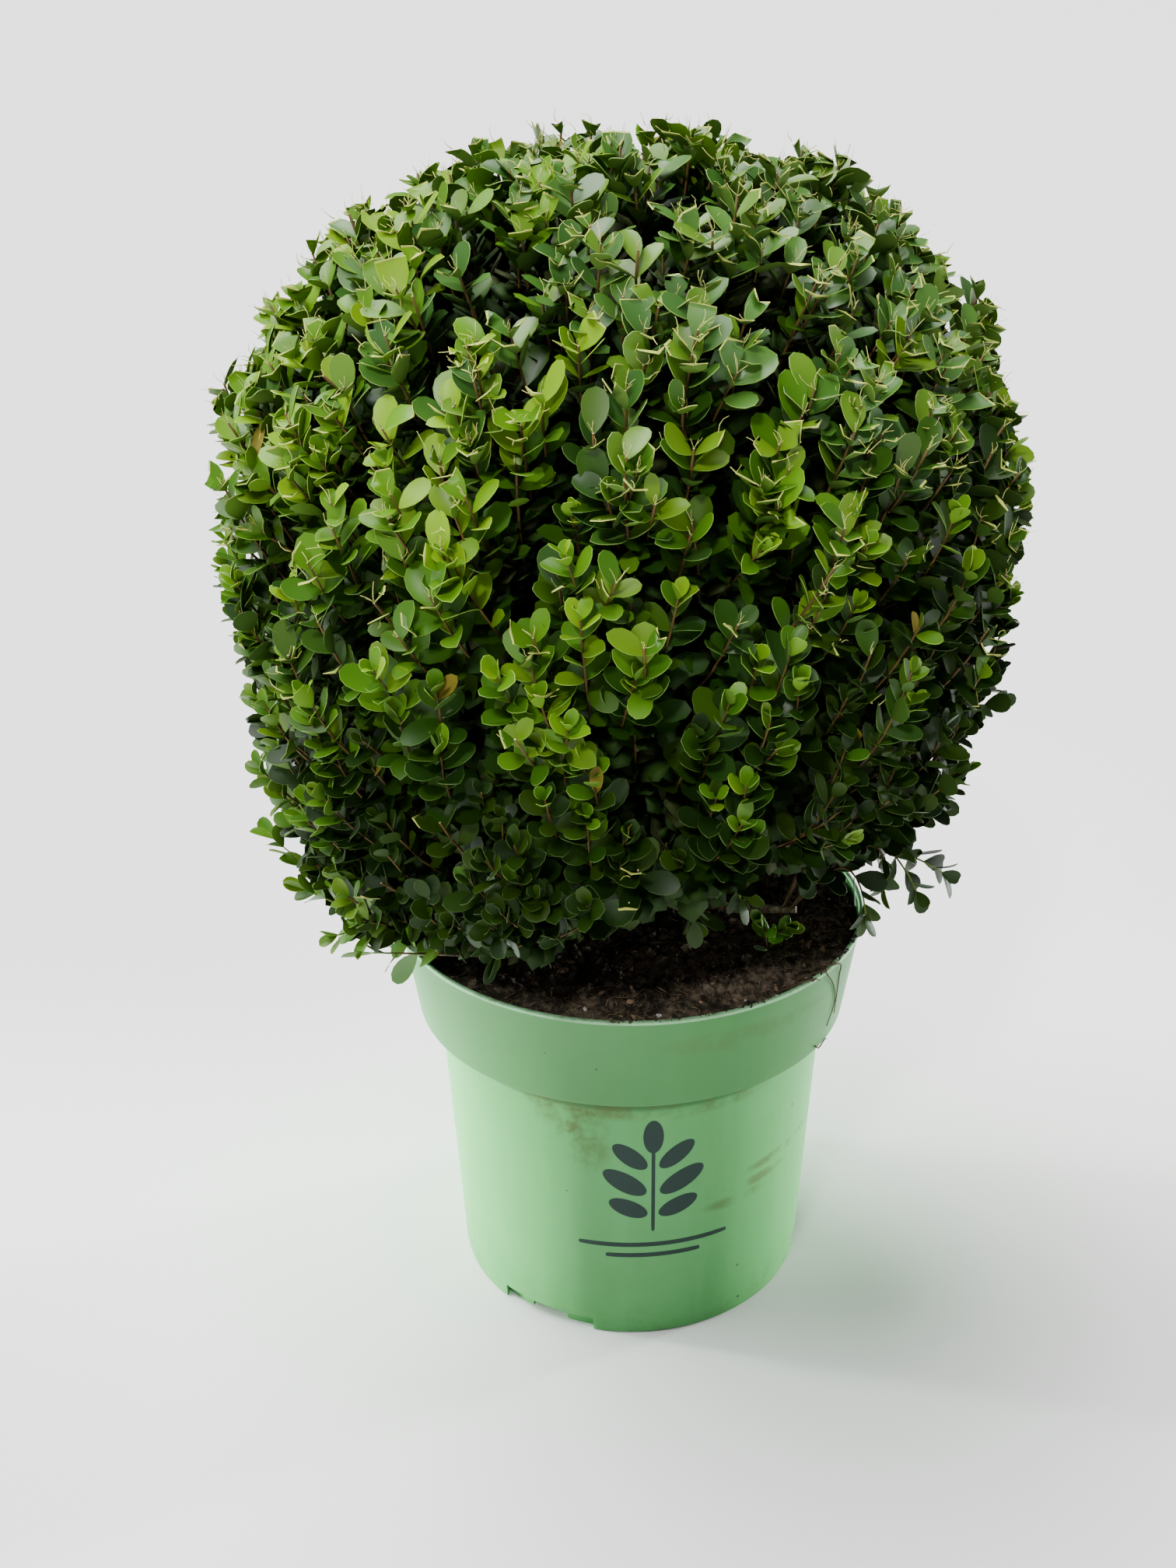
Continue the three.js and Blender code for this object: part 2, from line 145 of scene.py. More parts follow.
# shader sums: a Wire is a socket, and an expression on Wires adds Math nodes
class Wire:
    def __init__(self, tree, socket):
        self.tree = tree
        self.socket = socket

    def into(self, slot):
        self.tree.links.new(self.socket, slot)

    def joined(self, other, operation, swapped=False):
        node = self.tree.nodes.new("ShaderNodeMath")
        node.operation = operation
        values = (other, self) if swapped else (self, other)
        for slot, value in zip(node.inputs, values):
            feed(slot, value)
        return Wire(self.tree, node.outputs[0])

    def __add__(self, other):
        return self.joined(other, "ADD")

    def __radd__(self, other):
        return self.joined(other, "ADD", True)

    def __sub__(self, other):
        return self.joined(other, "SUBTRACT")

    def __rsub__(self, other):
        return self.joined(other, "SUBTRACT", True)

    def __mul__(self, other):
        return self.joined(other, "MULTIPLY")

    def __rmul__(self, other):
        return self.joined(other, "MULTIPLY", True)

    def __truediv__(self, other):
        return self.joined(other, "DIVIDE")

    def __pow__(self, other):
        return self.joined(other, "POWER")


def feed(slot, value):
    if isinstance(value, Wire):
        value.into(slot)
    elif isinstance(value, tuple) and len(value) == 3 and slot.type == "RGBA":
        slot.default_value = (*value, 1)
    else:
        slot.default_value = value


class Finish:
    def __init__(self, name, colour, roughness):
        self.material = bpy.data.materials.new(name)
        self.material.use_nodes = True
        self.tree = self.material.node_tree
        self.shader = self.tree.nodes["Principled BSDF"]
        self.set("Base Color", colour)
        self.set("Roughness", roughness)

    def set(self, name, value):
        feed(self.shader.inputs[name], value)

    # any node: its type, its settings, then the values or links of its sockets
    def node(self, kind, settings=None, sockets=None, output=0):
        made = self.tree.nodes.new("ShaderNode" + kind)
        for key, value in (settings or {}).items():
            setattr(made, key, value)
        for key, value in (sockets or {}).items():
            feed(made.inputs[key], value)
        return Wire(self.tree, made.outputs[output])

    def place(self, scale=(1, 1, 1)):
        objectPlace = self.node("TexCoord", output="Object")
        return self.node("Mapping", {}, {"Vector": objectPlace, "Scale": scale})

    def noise(self, scale, detail=3, roughness=0.5, stretch=(1, 1, 1)):
        sockets = {"Vector": self.place(stretch), "Scale": scale, "Detail": detail, "Roughness": roughness}
        return self.node("TexNoise", {}, sockets)

    # 0 below low, 1 above high, smooth between
    def ramp(self, value, low, high):
        settings = {"interpolation_type": "SMOOTHSTEP"}
        return self.node("MapRange", settings, {"Value": value, "From Min": low, "From Max": high})

    def mixed(self, factor, first, second):
        settings = {"data_type": "RGBA"}
        return self.node("Mix", settings, {0: factor, 6: first, 7: second}, output=2)

    def bump(self, height, strength, distance):
        sockets = {"Height": height, "Strength": strength, "Distance": distance}
        self.set("Normal", self.node("Bump", {}, sockets))


def selectOnly(piece):
    bpy.ops.object.select_all(action="DESELECT")
    piece.select_set(True)
    bpy.context.view_layer.objects.active = piece


def finishPiece(piece, node):
    selectOnly(piece)
    bpy.ops.object.transform_apply(location=True, rotation=True, scale=True)
    piece.select_set(False)
    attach(piece, "root")
    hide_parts(node)


def applyModifier(piece, kind, **settings):
    selectOnly(piece)
    bpy.ops.object.modifier_add(type=kind)
    made = piece.modifiers[-1]
    for key, value in settings.items():
        setattr(made, key, value)
    bpy.ops.object.modifier_apply(modifier=made.name)


# a turned shape, extruded ring by ring from a circle; flat ends are closed with a face and inset
def extrudedRings(name, rings, sides):
    bpy.ops.object.select_all(action="DESELECT")
    radius, height = rings[0]
    bpy.ops.mesh.primitive_circle_add(vertices=sides, radius=radius, fill_type="NGON", location=(0, 0, 0))
    piece = bpy.context.object
    piece.name = name
    bpy.ops.object.mode_set(mode="EDIT")
    bpy.ops.mesh.select_all(action="SELECT")
    bpy.ops.transform.translate(value=(0, 0, height))
    for nextRadius, nextHeight in rings[1:]:
        rise = nextHeight - height
        bpy.ops.mesh.extrude_region_move(TRANSFORM_OT_translate={"value": (0, 0, rise)})
        grow = nextRadius / radius
        bpy.ops.transform.resize(value=(grow, grow, 1), center_override=(0, 0, nextHeight))
        radius, height = nextRadius, nextHeight
    bpy.ops.mesh.select_all(action="SELECT")
    bpy.ops.mesh.normals_make_consistent(inside=False)
    bpy.ops.object.mode_set(mode="OBJECT")
    return piece


# pot
pot = {
    "sides": 144,
    "rimRadius": 139.6 * mm,
    "lip": 1.0 * mm,
    "lipHeight": 2.4 * mm,
    "bandHeight": 62 * mm,
    "bandFoot": 130.5 * mm,
    "bandEdge": 2.6 * mm,  # radius of the band's lower edge
    "bodyTop": 118.2 * mm,
    "stepRound": 1.2 * mm,  # where the body turns out under the band
    "foot": 108.2 * mm,
    "footRound": 0.6 * mm,
    "wall": 2.0 * mm,
    "floorLift": 9.5 * mm,
    "floorInset": 12 * mm,
    "innerFootInset": 4.6 * mm,
    "notchTurn": 241.3,  # degrees, the first of three drain notches
    "notchWidth": 62 * mm,
    "notchDepth": 16 * mm,
    "gateWidth": 24 * mm,
    "gateDepth": 30 * mm,
    "bevelAngle": 50,  # degrees, sharper edges are rounded
    "smoothAngle": 35,
}
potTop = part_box("pot")[1].z
potStep = potTop - pot["bandHeight"]


def arcRings(centreRadius, centreHeight, size, start, end, steps):
    turns = [math.radians(start + (end - start) * k / steps) for k in range(steps + 1)]
    return [(centreRadius + size * math.cos(t), centreHeight + size * math.sin(t)) for t in turns]


def potRings():
    wall, edge, lip, foot = pot["wall"], pot["bandEdge"], pot["lip"], pot["foot"]
    rim = pot["rimRadius"]
    half = pot["lipHeight"] / 2
    slope = (pot["bodyTop"] - foot) / potStep
    bodyHeights = (pot["footRound"], 20 * mm, 70 * mm, 120 * mm, potStep - pot["stepRound"])
    return [
        (foot - wall - pot["floorInset"], pot["floorLift"]),
        (foot - wall, pot["floorLift"]),
        (foot - wall, 0),
        (foot - pot["footRound"], 0),
        *[(foot + slope * z, z) for z in bodyHeights],
        (pot["bodyTop"] + pot["stepRound"], potStep),
        *arcRings(pot["bandFoot"] - edge, potStep + edge, edge, -90, -8, 6),
        (rim - 0.5 * mm, potTop - pot["lipHeight"] - 1 * mm),
        *arcRings(rim + lip - half, potTop - half, half, -60, 90, 7),
        (rim - wall + 0.5 * mm, potTop),
        (rim - wall, potTop - 0.6 * mm),
        (pot["bandFoot"] - wall, potStep + wall + 1 * mm),
        (pot["bodyTop"] - wall, potStep + wall),
        (foot - wall + 0.6 * mm, pot["floorLift"] + wall),
    ]


# outer radius of the band at a height
def bandRadius(z):
    slope = (pot["rimRadius"] - pot["bandFoot"]) / pot["bandHeight"]
    return pot["bandFoot"] + slope * (z - potStep)


def cutAway(piece, size, place, turn):
    bpy.ops.mesh.primitive_cube_add(size=1, location=place, rotation=(0, 0, turn), scale=size)
    cutter = bpy.context.object
    applyModifier(piece, "BOOLEAN", operation="DIFFERENCE", solver="EXACT", object=cutter)
    bpy.data.objects.remove(cutter)


# the ring that stands inside the pot's foot
def standingRing(inner):
    wall, top, chamfer = pot["wall"], pot["floorLift"] + 0.4 * mm, 0.3 * mm
    shape = [
        (inner - wall, top),
        (inner - wall, chamfer),
        (inner - wall + chamfer, 0),
        (inner - chamfer, 0),
        (inner, chamfer),
        (inner, top),
    ]
    ring = extrudedRings("standingRing", shape, pot["sides"])
    bpy.ops.object.mode_set(mode="EDIT")
    bpy.ops.mesh.select_all(action="DESELECT")
    bpy.ops.object.mode_set(mode="OBJECT")
    for face in ring.data.polygons:
        face.select = len(face.vertices) > 4  # the two end discs become one flat ring
    bpy.ops.object.mode_set(mode="EDIT")
    bpy.ops.mesh.delete(type="ONLY_FACE")
    bpy.ops.mesh.select_all(action="DESELECT")
    bpy.ops.mesh.select_non_manifold(extend=False)
    bpy.ops.mesh.bridge_edge_loops()
    bpy.ops.mesh.select_all(action="SELECT")
    bpy.ops.mesh.normals_make_consistent(inside=False)
    bpy.ops.object.mode_set(mode="OBJECT")
    return ring


def makePot():
    body = extrudedRings("nurseryPot", potRings(), pot["sides"])
    inner = pot["foot"] - pot["innerFootInset"]
    ring = standingRing(inner)
    notchRise = 2 * (pot["floorLift"] - 0.3 * mm)
    cuts = (
        (body, (pot["notchDepth"], pot["notchWidth"], notchRise), pot["foot"] - 2 * mm),
        (ring, (pot["gateDepth"], pot["gateWidth"], notchRise), inner),
    )
    for k in range(3):
        turn = math.radians(pot["notchTurn"] + 120 * k)
        for piece, size, reach in cuts:
            cutAway(piece, size, Vector((math.cos(turn), math.sin(turn), 0)) * reach, turn)
    limit = math.radians(pot["bevelAngle"])
    for piece, width, segments in ((body, 0.5 * mm, 2), (ring, 0.4 * mm, 1)):
        applyModifier(piece, "BEVEL", width=width, segments=segments, limit_method="ANGLE", angle_limit=limit)
    bpy.ops.object.select_all(action="DESELECT")
    ring.select_set(True)
    body.select_set(True)
    bpy.context.view_layer.objects.active = body
    bpy.ops.object.join()
    bpy.ops.object.shade_smooth_by_angle(angle=math.radians(pot["smoothAngle"]))
    body.data.materials.append(potPlastic())
    finishPiece(body, "pot")


# each smear on the front, mud and one painted shadow: its middle in x and z, half width, half height,
# strength
mudAndShadowSmears = [
    ((-0.040, 0.160), (0.015, 0.020), 0.62),
    ((-0.026, 0.145), (0.015, 0.022), 0.62),
    # mud under the band's foot, strengthened as a painted shadow of the band
    ((0.020, 0.168), (0.055, 0.0065), 0.75),
    ((0.088, 0.108), (0.018, 0.0034), 0.80),
    ((0.076, 0.098), (0.016, 0.0036), 0.70),
    ((0.062, 0.090), (0.018, 0.0040), 0.62),
    ((0.062, 0.222), (0.045, 0.0070), 0.32),
    ((-0.052, 0.169), (0.009, 0.0055), 0.60),
]


# a plain sprig over two bars, printed on the front
# each shape: middle in x and z, half width, half height, lean to the right in degrees, squareness
sprigMiddle = 13 * mm
printShapes = [
    ((0, 0.114), (0.0011, 0.034), 0, 8),
    ((0, 0.150), (0.0060, 0.0120), 0, 2),
    *[((side * 0.0135, 0.136), (0.0058, 0.0130), side * 48, 2) for side in (-1, 1)],
    *[((side * 0.0165, 0.117), (0.0066, 0.0150), side * 56, 2) for side in (-1, 1)],
    *[((side * 0.0145, 0.098), (0.0060, 0.0125), side * 64, 2) for side in (-1, 1)],
    ((0, 0.070), (0.044, 0.0017), 0, 8),
    ((0, 0.062), (0.028, 0.0017), 0, 8),
]


def printMask(finish, along, height):
    bare = 1
    for (x, z), (wide, tall), lean, power in printShapes:
        turn = math.radians(lean)
        right, rise = along - sprigMiddle - x, height - z
        across = (right * math.cos(turn) - rise * math.sin(turn)) / wide
        upward = (right * math.sin(turn) + rise * math.cos(turn)) / tall
        bare = bare * finish.ramp(across ** power + upward ** power, 0.93, 1.0)
    return 1 - bare


plastic = {
    "colour": (0.077, 0.295, 0.087),
    "mottle": ((0.072, 0.285, 0.080), (0.083, 0.308, 0.095)),
    # strength and colour of each layer over the mottle
    "streaks": (0.25, (0.11, 0.35, 0.12)),
    # painted shade: the band's plastic darkened below the body's
    "band": (0.38, (0.010, 0.020, 0.0)),
    # painted highlight: the lip's top paler than the plastic
    "lip": (0.55, (0.42, 0.80, 0.46)),
    "nook": (0.75, (0.022, 0.085, 0.018)),  # the shadow under the band
    "print": (0.96, (0.006, 0.014, 0.017)),
    "specks": (0.9, (0.02, 0.028, 0.012)),
    "mudAndShadowColour": (0.080, 0.088, 0.032),
    "footDust": 0.35,
    "footDustHeight": 35 * mm,
    "rimDust": 0.55,
    "rimDustHeight": 3 * mm,
    "roughness": 0.42,
    "specular": 0.2,
    "nookDrop": 7.5 * mm,  # from the band's foot to the nook's middle
    "nookHalf": 4.5 * mm,
}


def potPlastic():
    finish = Finish("greenPotPlastic", plastic["colour"], plastic["roughness"])
    along, depth, height = [
        finish.node("SeparateXYZ", {}, {"Vector": finish.place()}, axis) for axis in "XYZ"
    ]
    mottle = finish.noise(14, 4, 0.6)
    streaks = finish.noise(60, 3, 0.5, (1, 1, 0.06))
    grime = finish.noise(42, 6, 0.7)
    fine = finish.noise(900, 2, 0.5)
    speckle = finish.node("TexVoronoi", {}, {"Vector": finish.place(), "Scale": 52.0})
    front = 1 - finish.ramp(depth, -30 * mm, 0.0)
    fromNook = (height - (potStep - plastic["nookDrop"])) / plastic["nookHalf"]
    masks = {
        "streaks": finish.ramp(streaks, 0.5, 0.75),
        # painted shade on the band
        "band": finish.ramp(height, potStep - 0.5 * mm, potStep + 0.5 * mm),
        # painted highlight on the lip
        "lip": finish.ramp(height, potTop - 2.2 * mm, potTop - 1.0 * mm),
        "nook": 1 - finish.ramp(fromNook ** 2, 0, 1),
        "print": printMask(finish, along, height) * front,
    }
    tint = finish.mixed(finish.ramp(mottle, 0.35, 0.7), *plastic["mottle"])
    for layer, mask in masks.items():
        strength, colour = plastic[layer]
        tint = finish.mixed(mask * strength, tint, colour)
    # mud smears, with the painted shadow under the band
    mudAndShadow = 0
    for (x, z), (wide, tall), strength in mudAndShadowSmears:
        spread = ((along - x) / wide) ** 2 + ((height - z) / tall) ** 2
        mudAndShadow = mudAndShadow + (1 - finish.ramp(spread, 0.1, 1.6)) * strength
    mudAndShadow = mudAndShadow * front * finish.ramp(grime, 0.38, 0.62)
    nearFoot = 1 - finish.ramp(height, 0.0, plastic["footDustHeight"])
    nearTop = finish.ramp(height, potTop - plastic["rimDustHeight"], potTop)
    footDust = nearFoot * finish.ramp(grime, 0.45, 0.7) * plastic["footDust"]
    rimDust = nearTop * finish.ramp(grime, 0.46, 0.62) * plastic["rimDust"]
    # mud and dust, with the painted shadow under the band
    dirtAndShadow = finish.node("Clamp", {}, {"Value": mudAndShadow + footDust + rimDust})
    tint = finish.mixed(dirtAndShadow, tint, plastic["mudAndShadowColour"])
    strength, colour = plastic["specks"]
    specks = (1 - finish.ramp(speckle, 0.035, 0.06)) * finish.ramp(finish.noise(30, 2), 0.5, 0.55)
    finish.set("Base Color", finish.mixed(specks * strength, tint, colour))
    finish.set("Roughness", plastic["roughness"] + 0.12 * mottle + 0.35 * dirtAndShadow)
    finish.set("Specular IOR Level", plastic["specular"])
    finish.bump(fine * 0.4 + streaks * 0.3 + dirtAndShadow * 0.6, 0.25, 0.6 * mm)
    return finish.material


makePot()
print("pot made")


# soil
soil = {
    "sides": 120,
    "top": 235 * mm,
    "gap": 0.4 * mm,
    "rings": 34,
    "grain": 0.45 * mm,
    "stemClear": 17 * mm,  # flat about the stem
    "settled": 2.5 * mm,  # how far it has sunk at its edge
    "lumpSwell": 1.3 * mm,
    "fineSwell": 0.9 * mm,
    "darkColour": (0.016, 0.012, 0.009),
    "lightColour": (0.17, 0.128, 0.090),
}
soilRandom = np.random.default_rng(41)


def meshPlaces(piece):
    places = np.empty(len(piece.data.vertices) * 3)
    piece.data.vertices.foreach_get("co", places)
    return places.reshape(-1, 3)


def setMeshPlaces(piece, places):
    piece.data.vertices.foreach_set("co", places.ravel())
    piece.data.update()


def soilEdge():
    return bandRadius(soil["top"]) - pot["wall"] - soil["gap"] - 0.6 * mm


def soilSwell(x, y):
    rough = np.sin(x * 93 + 1.3) * np.cos(y * 81 - 0.4) + 0.7 * np.sin((x + y) * 190)
    fine = np.sin(x * 410 + 2 * np.sin(y * 300)) * np.sin(y * 370 + 1.7) + 0.6 * np.sin(x * 760 - y * 640)
    return soil["lumpSwell"] * rough + soil["fineSwell"] * fine


def soilHeight(x, y):
    radius = np.hypot(x, y)
    inward = np.clip((soilEdge() - radius) / (10 * mm), 0, 1)
    level = np.clip((radius - soil["stemClear"]) / (8 * mm), 0, 1)
    return soil["top"] - soil["settled"] * (1 - inward) ** 2 + soilSwell(x, y) * level


def makeSoil():
    wall, space = pot["wall"], soil["gap"]
    edge = soilEdge()
    rings = [
        (pot["foot"] - wall - space, pot["floorLift"] + wall + space + 0.4 * mm),
        (pot["bodyTop"] - wall - space - 0.2 * mm, potStep + wall),
        (pot["bandFoot"] - wall - space - 0.8 * mm, potStep + wall + 2.2 * mm),
        (edge, soil["top"] - 4 * mm),
    ]
    rings += [(edge * (1 - k / soil["rings"]) + 1 * mm, soil["top"]) for k in range(soil["rings"])]
    piece = extrudedRings("pottingSoil", rings, soil["sides"])
    places = meshPlaces(piece)
    surface = places[:, 2] > soil["top"] - 1 * mm
    x, y = places[surface, 0], places[surface, 1]
    grain = soilRandom.normal(0, soil["grain"], surface.sum())
    places[surface, 2] = soilHeight(x, y) + grain * (np.hypot(x, y) > soil["stemClear"])
    setMeshPlaces(piece, places)
    bpy.ops.object.shade_smooth()
    piece.data.materials.append(soilFinish("moistSoil", 1.0))
    finishPiece(piece, "soil")


def soilFinish(name, pale):
    finish = Finish(name, soil["darkColour"], 0.95)
    lumps = finish.noise(160, 6, 0.65)
    patches = finish.noise(28, 3, 0.5)
    light = tuple(c * pale for c in soil["lightColour"])
    mixture = finish.ramp(lumps * 0.7 + patches * 0.3, 0.42, 0.66)
    finish.set("Base Color", finish.mixed(mixture, soil["darkColour"], light))
    finish.set("Specular IOR Level", 0.25)
    finish.bump(lumps, 0.8, 1.2 * mm)
    return finish.material


makeSoil()
print("soil made")


# one mesh of many copies of a small shape: places is (copies, corners, 3) and faces are one copy's;
# sharp is a table that says which pairs of a copy's corners are sharp edges
def joinedMesh(name, places, faces, materials, faceMaterials=None, sharp=None, smooth=True):
    copies, corners = places.shape[:2]
    faces = (faces[None] + corners * np.arange(copies)[:, None, None]).reshape(-1, 3)
    mesh = bpy.data.meshes.new(name)
    mesh.vertices.add(copies * corners)
    mesh.vertices.foreach_set("co", places.astype(np.float32).ravel())
    mesh.loops.add(faces.size)
    mesh.loops.foreach_set("vertex_index", faces.astype(np.int32).ravel())
    mesh.polygons.add(len(faces))
    mesh.polygons.foreach_set("loop_start", np.arange(0, faces.size, 3, dtype=np.int32))
    mesh.polygons.foreach_set("use_smooth", np.full(len(faces), smooth))
    if faceMaterials is not None:
        mesh.polygons.foreach_set("material_index", faceMaterials.astype(np.int32).ravel())
    mesh.update(calc_edges=True)
    mesh.validate()
    for material in materials:
        mesh.materials.append(material)
    if sharp is not None:
        ends = np.empty(len(mesh.edges) * 2, np.int32)
        mesh.edges.foreach_get("vertices", ends)
        ends = ends.reshape(-1, 2) % corners
        marks = mesh.attributes.new("sharp_edge", "BOOLEAN", "EDGE")
        marks.data.foreach_set("value", sharp[ends[:, 0], ends[:, 1]])
    piece = bpy.data.objects.new(name, mesh)
    bpy.context.scene.collection.objects.link(piece)
    return piece


def unit(v):
    return v / np.maximum(np.linalg.norm(v, axis=-1, keepdims=True), 1e-12)


def randomTurns(random, count):
    quarters = unit(random.normal(size=(count, 4)))
    w, x, y, z = quarters.T
    rows = [
        [1 - 2 * (y * y + z * z), 2 * (x * y - z * w), 2 * (x * z + y * w)],
        [2 * (x * y + z * w), 1 - 2 * (x * x + z * z), 2 * (y * z - x * w)],
        [2 * (x * z - y * w), 2 * (y * z + x * w), 1 - 2 * (x * x + y * y)],
    ]
    return np.moveaxis(np.array(rows), 2, 0)


def lumpShape():
    bpy.ops.mesh.primitive_ico_sphere_add(subdivisions=1, radius=1)
    seed = bpy.context.object
    places = np.array([v.co for v in seed.data.vertices])
    faces = np.array([list(p.vertices) for p in seed.data.polygons])
    bpy.data.objects.remove(seed)
    return places, faces


def scatterOnSoil(count, low, high):
    radius = (soilEdge() - 2 * mm) * np.sqrt(soilRandom.uniform(0.03, 1, count))
    angle = soilRandom.uniform(0, 2 * np.pi, count)
    x, y = radius * np.cos(angle), radius * np.sin(angle)
    return np.column_stack([x, y, soilHeight(x, y) + soilRandom.uniform(low, high, count)])


# crumbs that lie on the rim, mostly at the front right
def scatterOnRim(count):
    turn = np.radians(-20 - 75 * soilRandom.random(count) ** 1.6)
    radius = soilRandom.uniform(pot["rimRadius"] - 2 * mm, pot["rimRadius"] + 0.7 * mm, count)
    height = np.full(count, potTop + 0.15 * mm)
    return np.column_stack([radius * np.cos(turn), radius * np.sin(turn), height])


def scatteredLumps(name, centres, sizes, squash, material):
    shape, faces = lumpShape()
    random = soilRandom
    count = len(centres)
    size = sizes[0] + (sizes[1] - sizes[0]) * random.random(count) ** 3
    sides = [random.uniform(*squash, count) for _ in range(2)]
    stretch = np.column_stack([np.ones(count), *sides])
    rough = random.uniform(0.7, 1.25, (count, len(shape), 1))
    local = shape[None] * rough * stretch[:, None] * size[:, None, None]
    turned = np.einsum("nij,nvj->nvi", randomTurns(random, count), local)
    piece = joinedMesh(name, turned + centres[:, None], faces, [material], smooth=False)
    finishPiece(piece, "soil")


# dark and light mixed by a fine noise; colours are the plain one, the dark one and the light one
def grainyFinish(name, roughness, grain, lightFrom, colours):
    plainColour, darkColour, lightColour = colours
    finish = Finish(name, plainColour, roughness)
    mixture = finish.ramp(finish.noise(*grain), 0.4, lightFrom)
    finish.set("Base Color", finish.mixed(mixture, darkColour, lightColour))
    return finish.material


# roughness, the noise's size, detail and roughness, where the light colour is full, colours
grains = {
    "barkChips": (0.85, (240, 4, 0.6), 0.62, ((0.09, 0.05, 0.025), (0.05, 0.03, 0.017), (0.30, 0.19, 0.11))),
    "perlite": (0.9, (500, 3, 0.6), 0.6, ((0.62, 0.6, 0.55), (0.4, 0.37, 0.32), (0.66, 0.64, 0.6))),
    "soilFibres": (0.85, (300, 2), 0.6, ((0.13, 0.075, 0.04), (0.05, 0.03, 0.017), (0.26, 0.165, 0.095))),
}
# what lies on the soil, and last on the rim: how many, heights over it in mm, sizes in mm, squash
litter = {
    "soilCrumbs": (3900, (-0.4, 0.8), (0.6, 4.6), (0.6, 1.0)),
    "barkChips": (420, (0, 1.2), (1.2, 6.5), (0.2, 0.45)),
    "perliteBits": (55, (0.2, 1.2), (0.6, 2.4), (0.7, 1.0)),
    "rimCrumbs": (190, None, (0.3, 1.5), (0.4, 1.0)),
}


def makeLitter():
    materials = [
        soilFinish("soilCrumb", 0.9),
        grainyFinish("barkChips", *grains["barkChips"]),
        grainyFinish("perlite", *grains["perlite"]),
        soilFinish("rimCrumb", 0.4),
    ]
    places = []
    for count, heights, _, _ in litter.values():
        places.append(scatterOnSoil(count, *np.array(heights) * mm) if heights else scatterOnRim(count))
    for (name, (_, _, sizes, squash)), centres, material in zip(litter.items(), places, materials):
        scatteredLumps(name, centres, np.array(sizes) * mm, squash, material)


makeLitter()
print("soil crumbs made")


# thin tapering stems joined into one mesh: paths is (stems, points, 3), radii is (stems, points)
def tubeArrays(paths, radii, sides):
    count, steps, _ = paths.shape
    along = unit(np.gradient(paths, axis=1))
    guide = np.where(np.abs(along[:, :1, 2:]) > 0.9, [[[1.0, 0, 0]]], [[[0.0, 0, 1.0]]])
    side = unit(np.cross(along, np.broadcast_to(guide, along.shape)))
    other = np.cross(along, side)
    turns = 2 * np.pi * np.arange(sides) / sides
    ring = side[:, :, None] * np.cos(turns)[:, None] + other[:, :, None] * np.sin(turns)[:, None]
    places = paths[:, :, None] + ring * radii[:, :, None, None]
    places = places.reshape(count, steps * sides, 3)
    places = np.concatenate([places, paths[:, :1], paths[:, -1:]], axis=1)
    faces, band = [], []
    for s in range(steps - 1):
        for k in range(sides):
            a, b = s * sides + k, s * sides + (k + 1) % sides
            faces += [(a, a + sides, b + sides), (a, b + sides, b)]
            band += [s, s]
    first, last = steps * sides, steps * sides + 1
    for k in range(sides):
        a, b = k, (k + 1) % sides
        faces += [(first, a, b), (last, (steps - 1) * sides + b, (steps - 1) * sides + a)]
        band += [-1, steps]
    faces = np.array(faces)[:, ::-1]
    return places, faces, np.array(band)


# a quadratic curve through rows of three control points: (count, 3, 3) to (count, steps, 3)
def curvedPath(points, steps):
    t = np.linspace(0, 1, steps)[None, :, None]
    a, b, c = points[:, 0:1], points[:, 1:2], points[:, 2:3]
    return (1 - t) ** 2 * a + 2 * t * (1 - t) * b + t * t * c


fibre = {"count": 700, "length": (4 * mm, 18 * mm), "radius": 0.22 * mm, "steps": 5}


def makeFibres():
    count = fibre["count"]
    random = soilRandom
    start = scatterOnSoil(count, 0.2 * mm, 1.2 * mm)
    turn = random.uniform(0, 2 * np.pi, count)
    length = random.uniform(*fibre["length"], count)
    run = np.column_stack([np.cos(turn), np.sin(turn), random.normal(0, 0.12, count)]) * length[:, None]
    bend = np.column_stack([-np.sin(turn), np.cos(turn), random.uniform(0, 0.5, count)])
    middle = start + run * 0.5 + bend * (random.normal(0, 0.25, count) * length)[:, None]
    end = start + run
    room = soilEdge() - 1 * mm
    for place in (middle, end):
        distance = np.hypot(place[:, 0], place[:, 1])
        place[:, :2] *= np.minimum(1, room / distance)[:, None]
        place[:, 2] = np.maximum(place[:, 2], soilHeight(place[:, 0], place[:, 1]) + 0.3 * mm)
    paths = curvedPath(np.stack([start, middle, end], axis=1), fibre["steps"])
    radii = np.full(paths.shape[:2], fibre["radius"]) * random.uniform(0.6, 1.6, (count, 1))
    places, faces, _ = tubeArrays(paths, radii, 3)
    material = grainyFinish("soilFibres", *grains["soilFibres"])
    finishPiece(joinedMesh("soilFibres", places, faces, [material]), "soil")


makeFibres()
print("soil fibres made")


